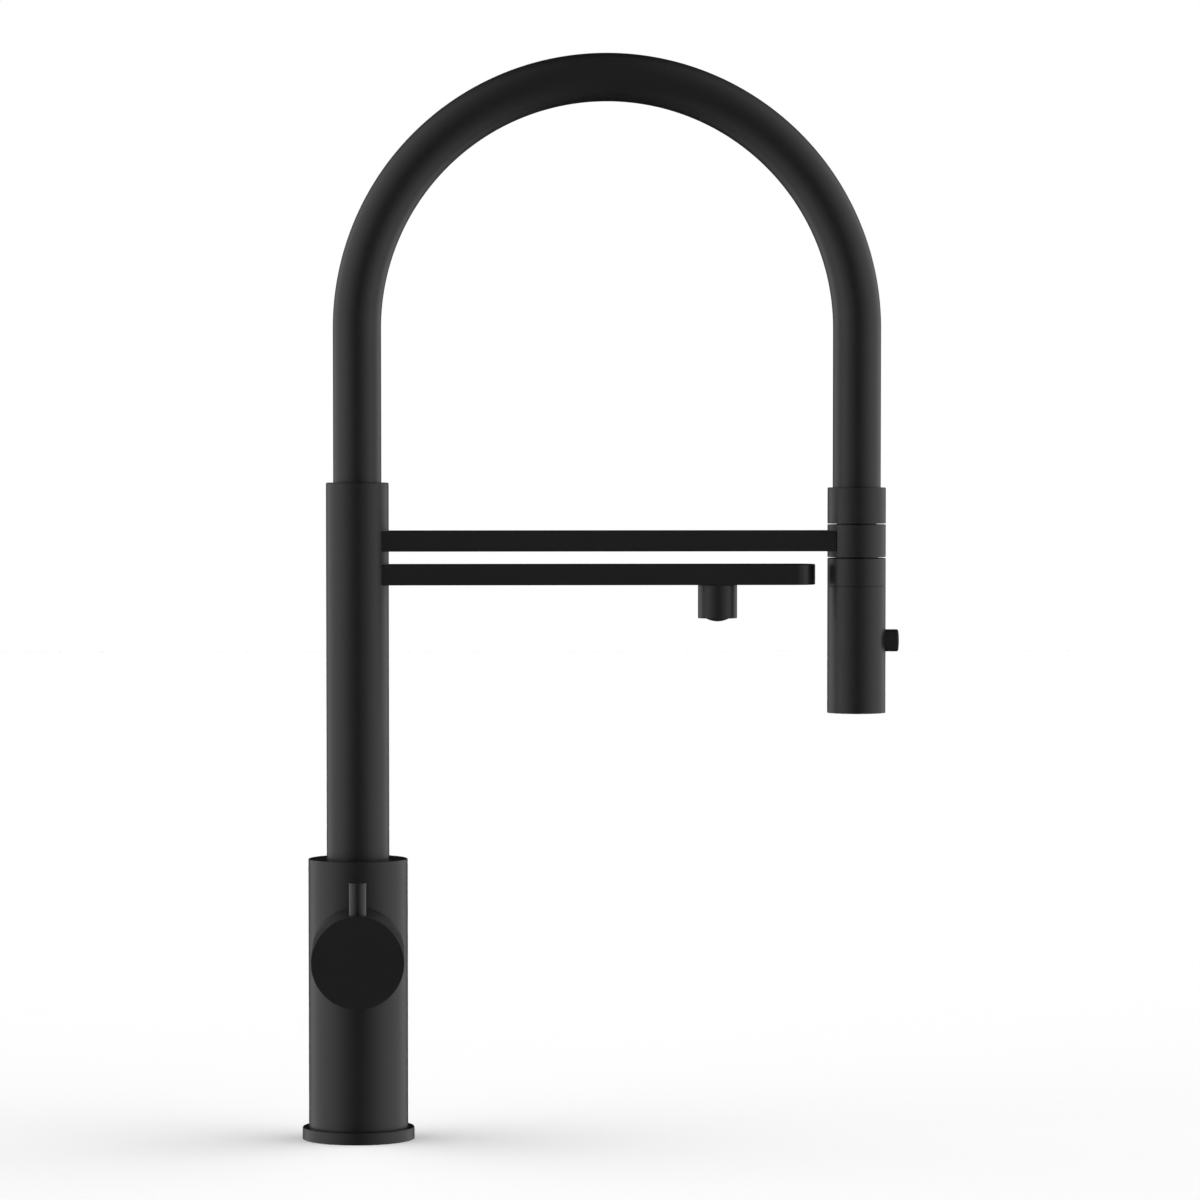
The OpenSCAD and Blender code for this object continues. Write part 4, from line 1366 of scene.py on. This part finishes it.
@dataclass
class Studio:
    """The floor, the light and the camera."""

    lens: float = 158.80
    eye: Triple = (0.0129, -2.6615, 0.3547)
    yaw: float = 2.346
    pitch: float = 2.766
    shift: float = 0.0754
    floor_half: float = 6.0
    soft_fall: float = 2.0
    soft_low: float = 0.2
    soft_high: float = 3.4
    shine_wide: float = 1.18
    shine_back: float = 0.25
    shine_fall: float = 1.3
    shine_fade: float = 2.6
    shine_low: float = 0.01
    shine_high: float = 1.0

    def build(self) -> None:
        """Builds the whole studio."""
        self.floor()
        self.light()
        self.camera()

    def floor(self) -> None:
        """Lays a white floor that takes the faucet's shadow."""
        half = self.floor_half
        mesh = bpy.data.meshes.new("floor")
        corners = [(-half, -half, 0), (half, -half, 0), (half, half, 0), (-half, half, 0)]
        mesh.from_pydata(corners, [], [(0, 1, 2, 3)])
        plane = linked("floor", mesh)
        t = ShaderTree("floor_white")
        paint = t.out("ShaderNodeBsdfDiffuse", {"Color": (1.0, 1.0, 1.0, 1)})
        clear = t.out("ShaderNodeBsdfTransparent")
        back = t.node("ShaderNodeNewGeometry").outputs["Backfacing"]
        shine = t.node("ShaderNodeLightPath").outputs["Is Glossy Ray"]
        both = t.out("ShaderNodeMixShader", {0: t.math("MAXIMUM", back, shine), 1: paint, 2: clear})
        t.node("ShaderNodeOutputMaterial", {"Surface": both})
        mesh.materials.append(t.material)

    def light(self) -> None:
        """Lights the room: white all round, and for reflections white from both sides and dim elsewhere."""
        world = bpy.data.worlds.new("studio")
        bpy.context.scene.world = world
        world.use_nodes = True
        world.cycles.sampling_method = "NONE"
        sky = NodeTree(world.node_tree)
        sky.tree.nodes.clear()
        way = sky.node("ShaderNodeTexCoord").outputs["Generated"]
        across, along, _ = sky.node("ShaderNodeSeparateXYZ", {0: way}).outputs

        def boxes(reach: Socket, fall: object, low: float, high: float) -> Socket:
            """Returns: the light's strength, which falls from high at the sides to low elsewhere."""
            curve = sky.math("POWER", sky.math("MINIMUM", reach, 1.0), fall)
            return sky.out("ShaderNodeMapRange", {"Value": curve, "To Min": low, "To Max": high})

        side = sky.math("ABSOLUTE", across)
        lean = sky.math("MULTIPLY_ADD", along, self.shine_back * self.shine_wide, self.shine_wide)
        fade = sky.math("MULTIPLY_ADD", sky.math("MAXIMUM", along, 0.0), self.shine_fade, self.shine_fall)
        path = sky.node("ShaderNodeLightPath").outputs
        seen = sky.math("MAXIMUM", path["Is Camera Ray"], path["Is Transmission Ray"])
        lit = sky.out("ShaderNodeMix", {
            0: path["Is Glossy Ray"], 2: boxes(side, self.soft_fall, self.soft_low, self.soft_high),
            3: boxes(sky.math("MULTIPLY", side, lean), fade, self.shine_low, self.shine_high),
        }, data_type="FLOAT")
        level = sky.out("ShaderNodeMix", {0: seen, 2: lit, 3: 1.0}, data_type="FLOAT")
        glow = sky.out("ShaderNodeBackground", {"Color": (1, 1, 1, 1), "Strength": level})
        sky.node("ShaderNodeOutputWorld", {"Surface": glow})

    def camera(self) -> None:
        """Sets the camera where the photograph was taken from."""
        lens = bpy.data.cameras.new("camera")
        lens.lens = self.lens
        lens.sensor_width = 36.0
        lens.shift_y = self.shift
        lens.clip_end = 50.0
        eye = linked("camera", lens)
        yaw, pitch = math.radians(self.yaw), math.radians(self.pitch)
        look = Vector((math.sin(yaw) * math.cos(pitch), math.cos(yaw) * math.cos(pitch), -math.sin(pitch)))
        eye.location = self.eye
        eye.rotation_mode = "QUATERNION"
        eye.rotation_quaternion = look.to_track_quat("-Z", "Y")
        bpy.context.scene.camera = eye


def main() -> None:
    """Builds every sub-assembly and the studio."""
    logging.basicConfig(level=logging.INFO, format="%(message)s")
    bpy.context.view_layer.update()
    bpy.context.scene.view_settings.view_transform = "Standard"
    finishes = Finishes()
    for part in (KeptNodes, DeckFixing, Body, KnobSide, PostAndArch, Arms, SprayHead, WaterWay):
        LOG.info("building %s", part.__name__)
        part(finishes).build()
    Studio().build()


if __name__ == "__main__":
    main()
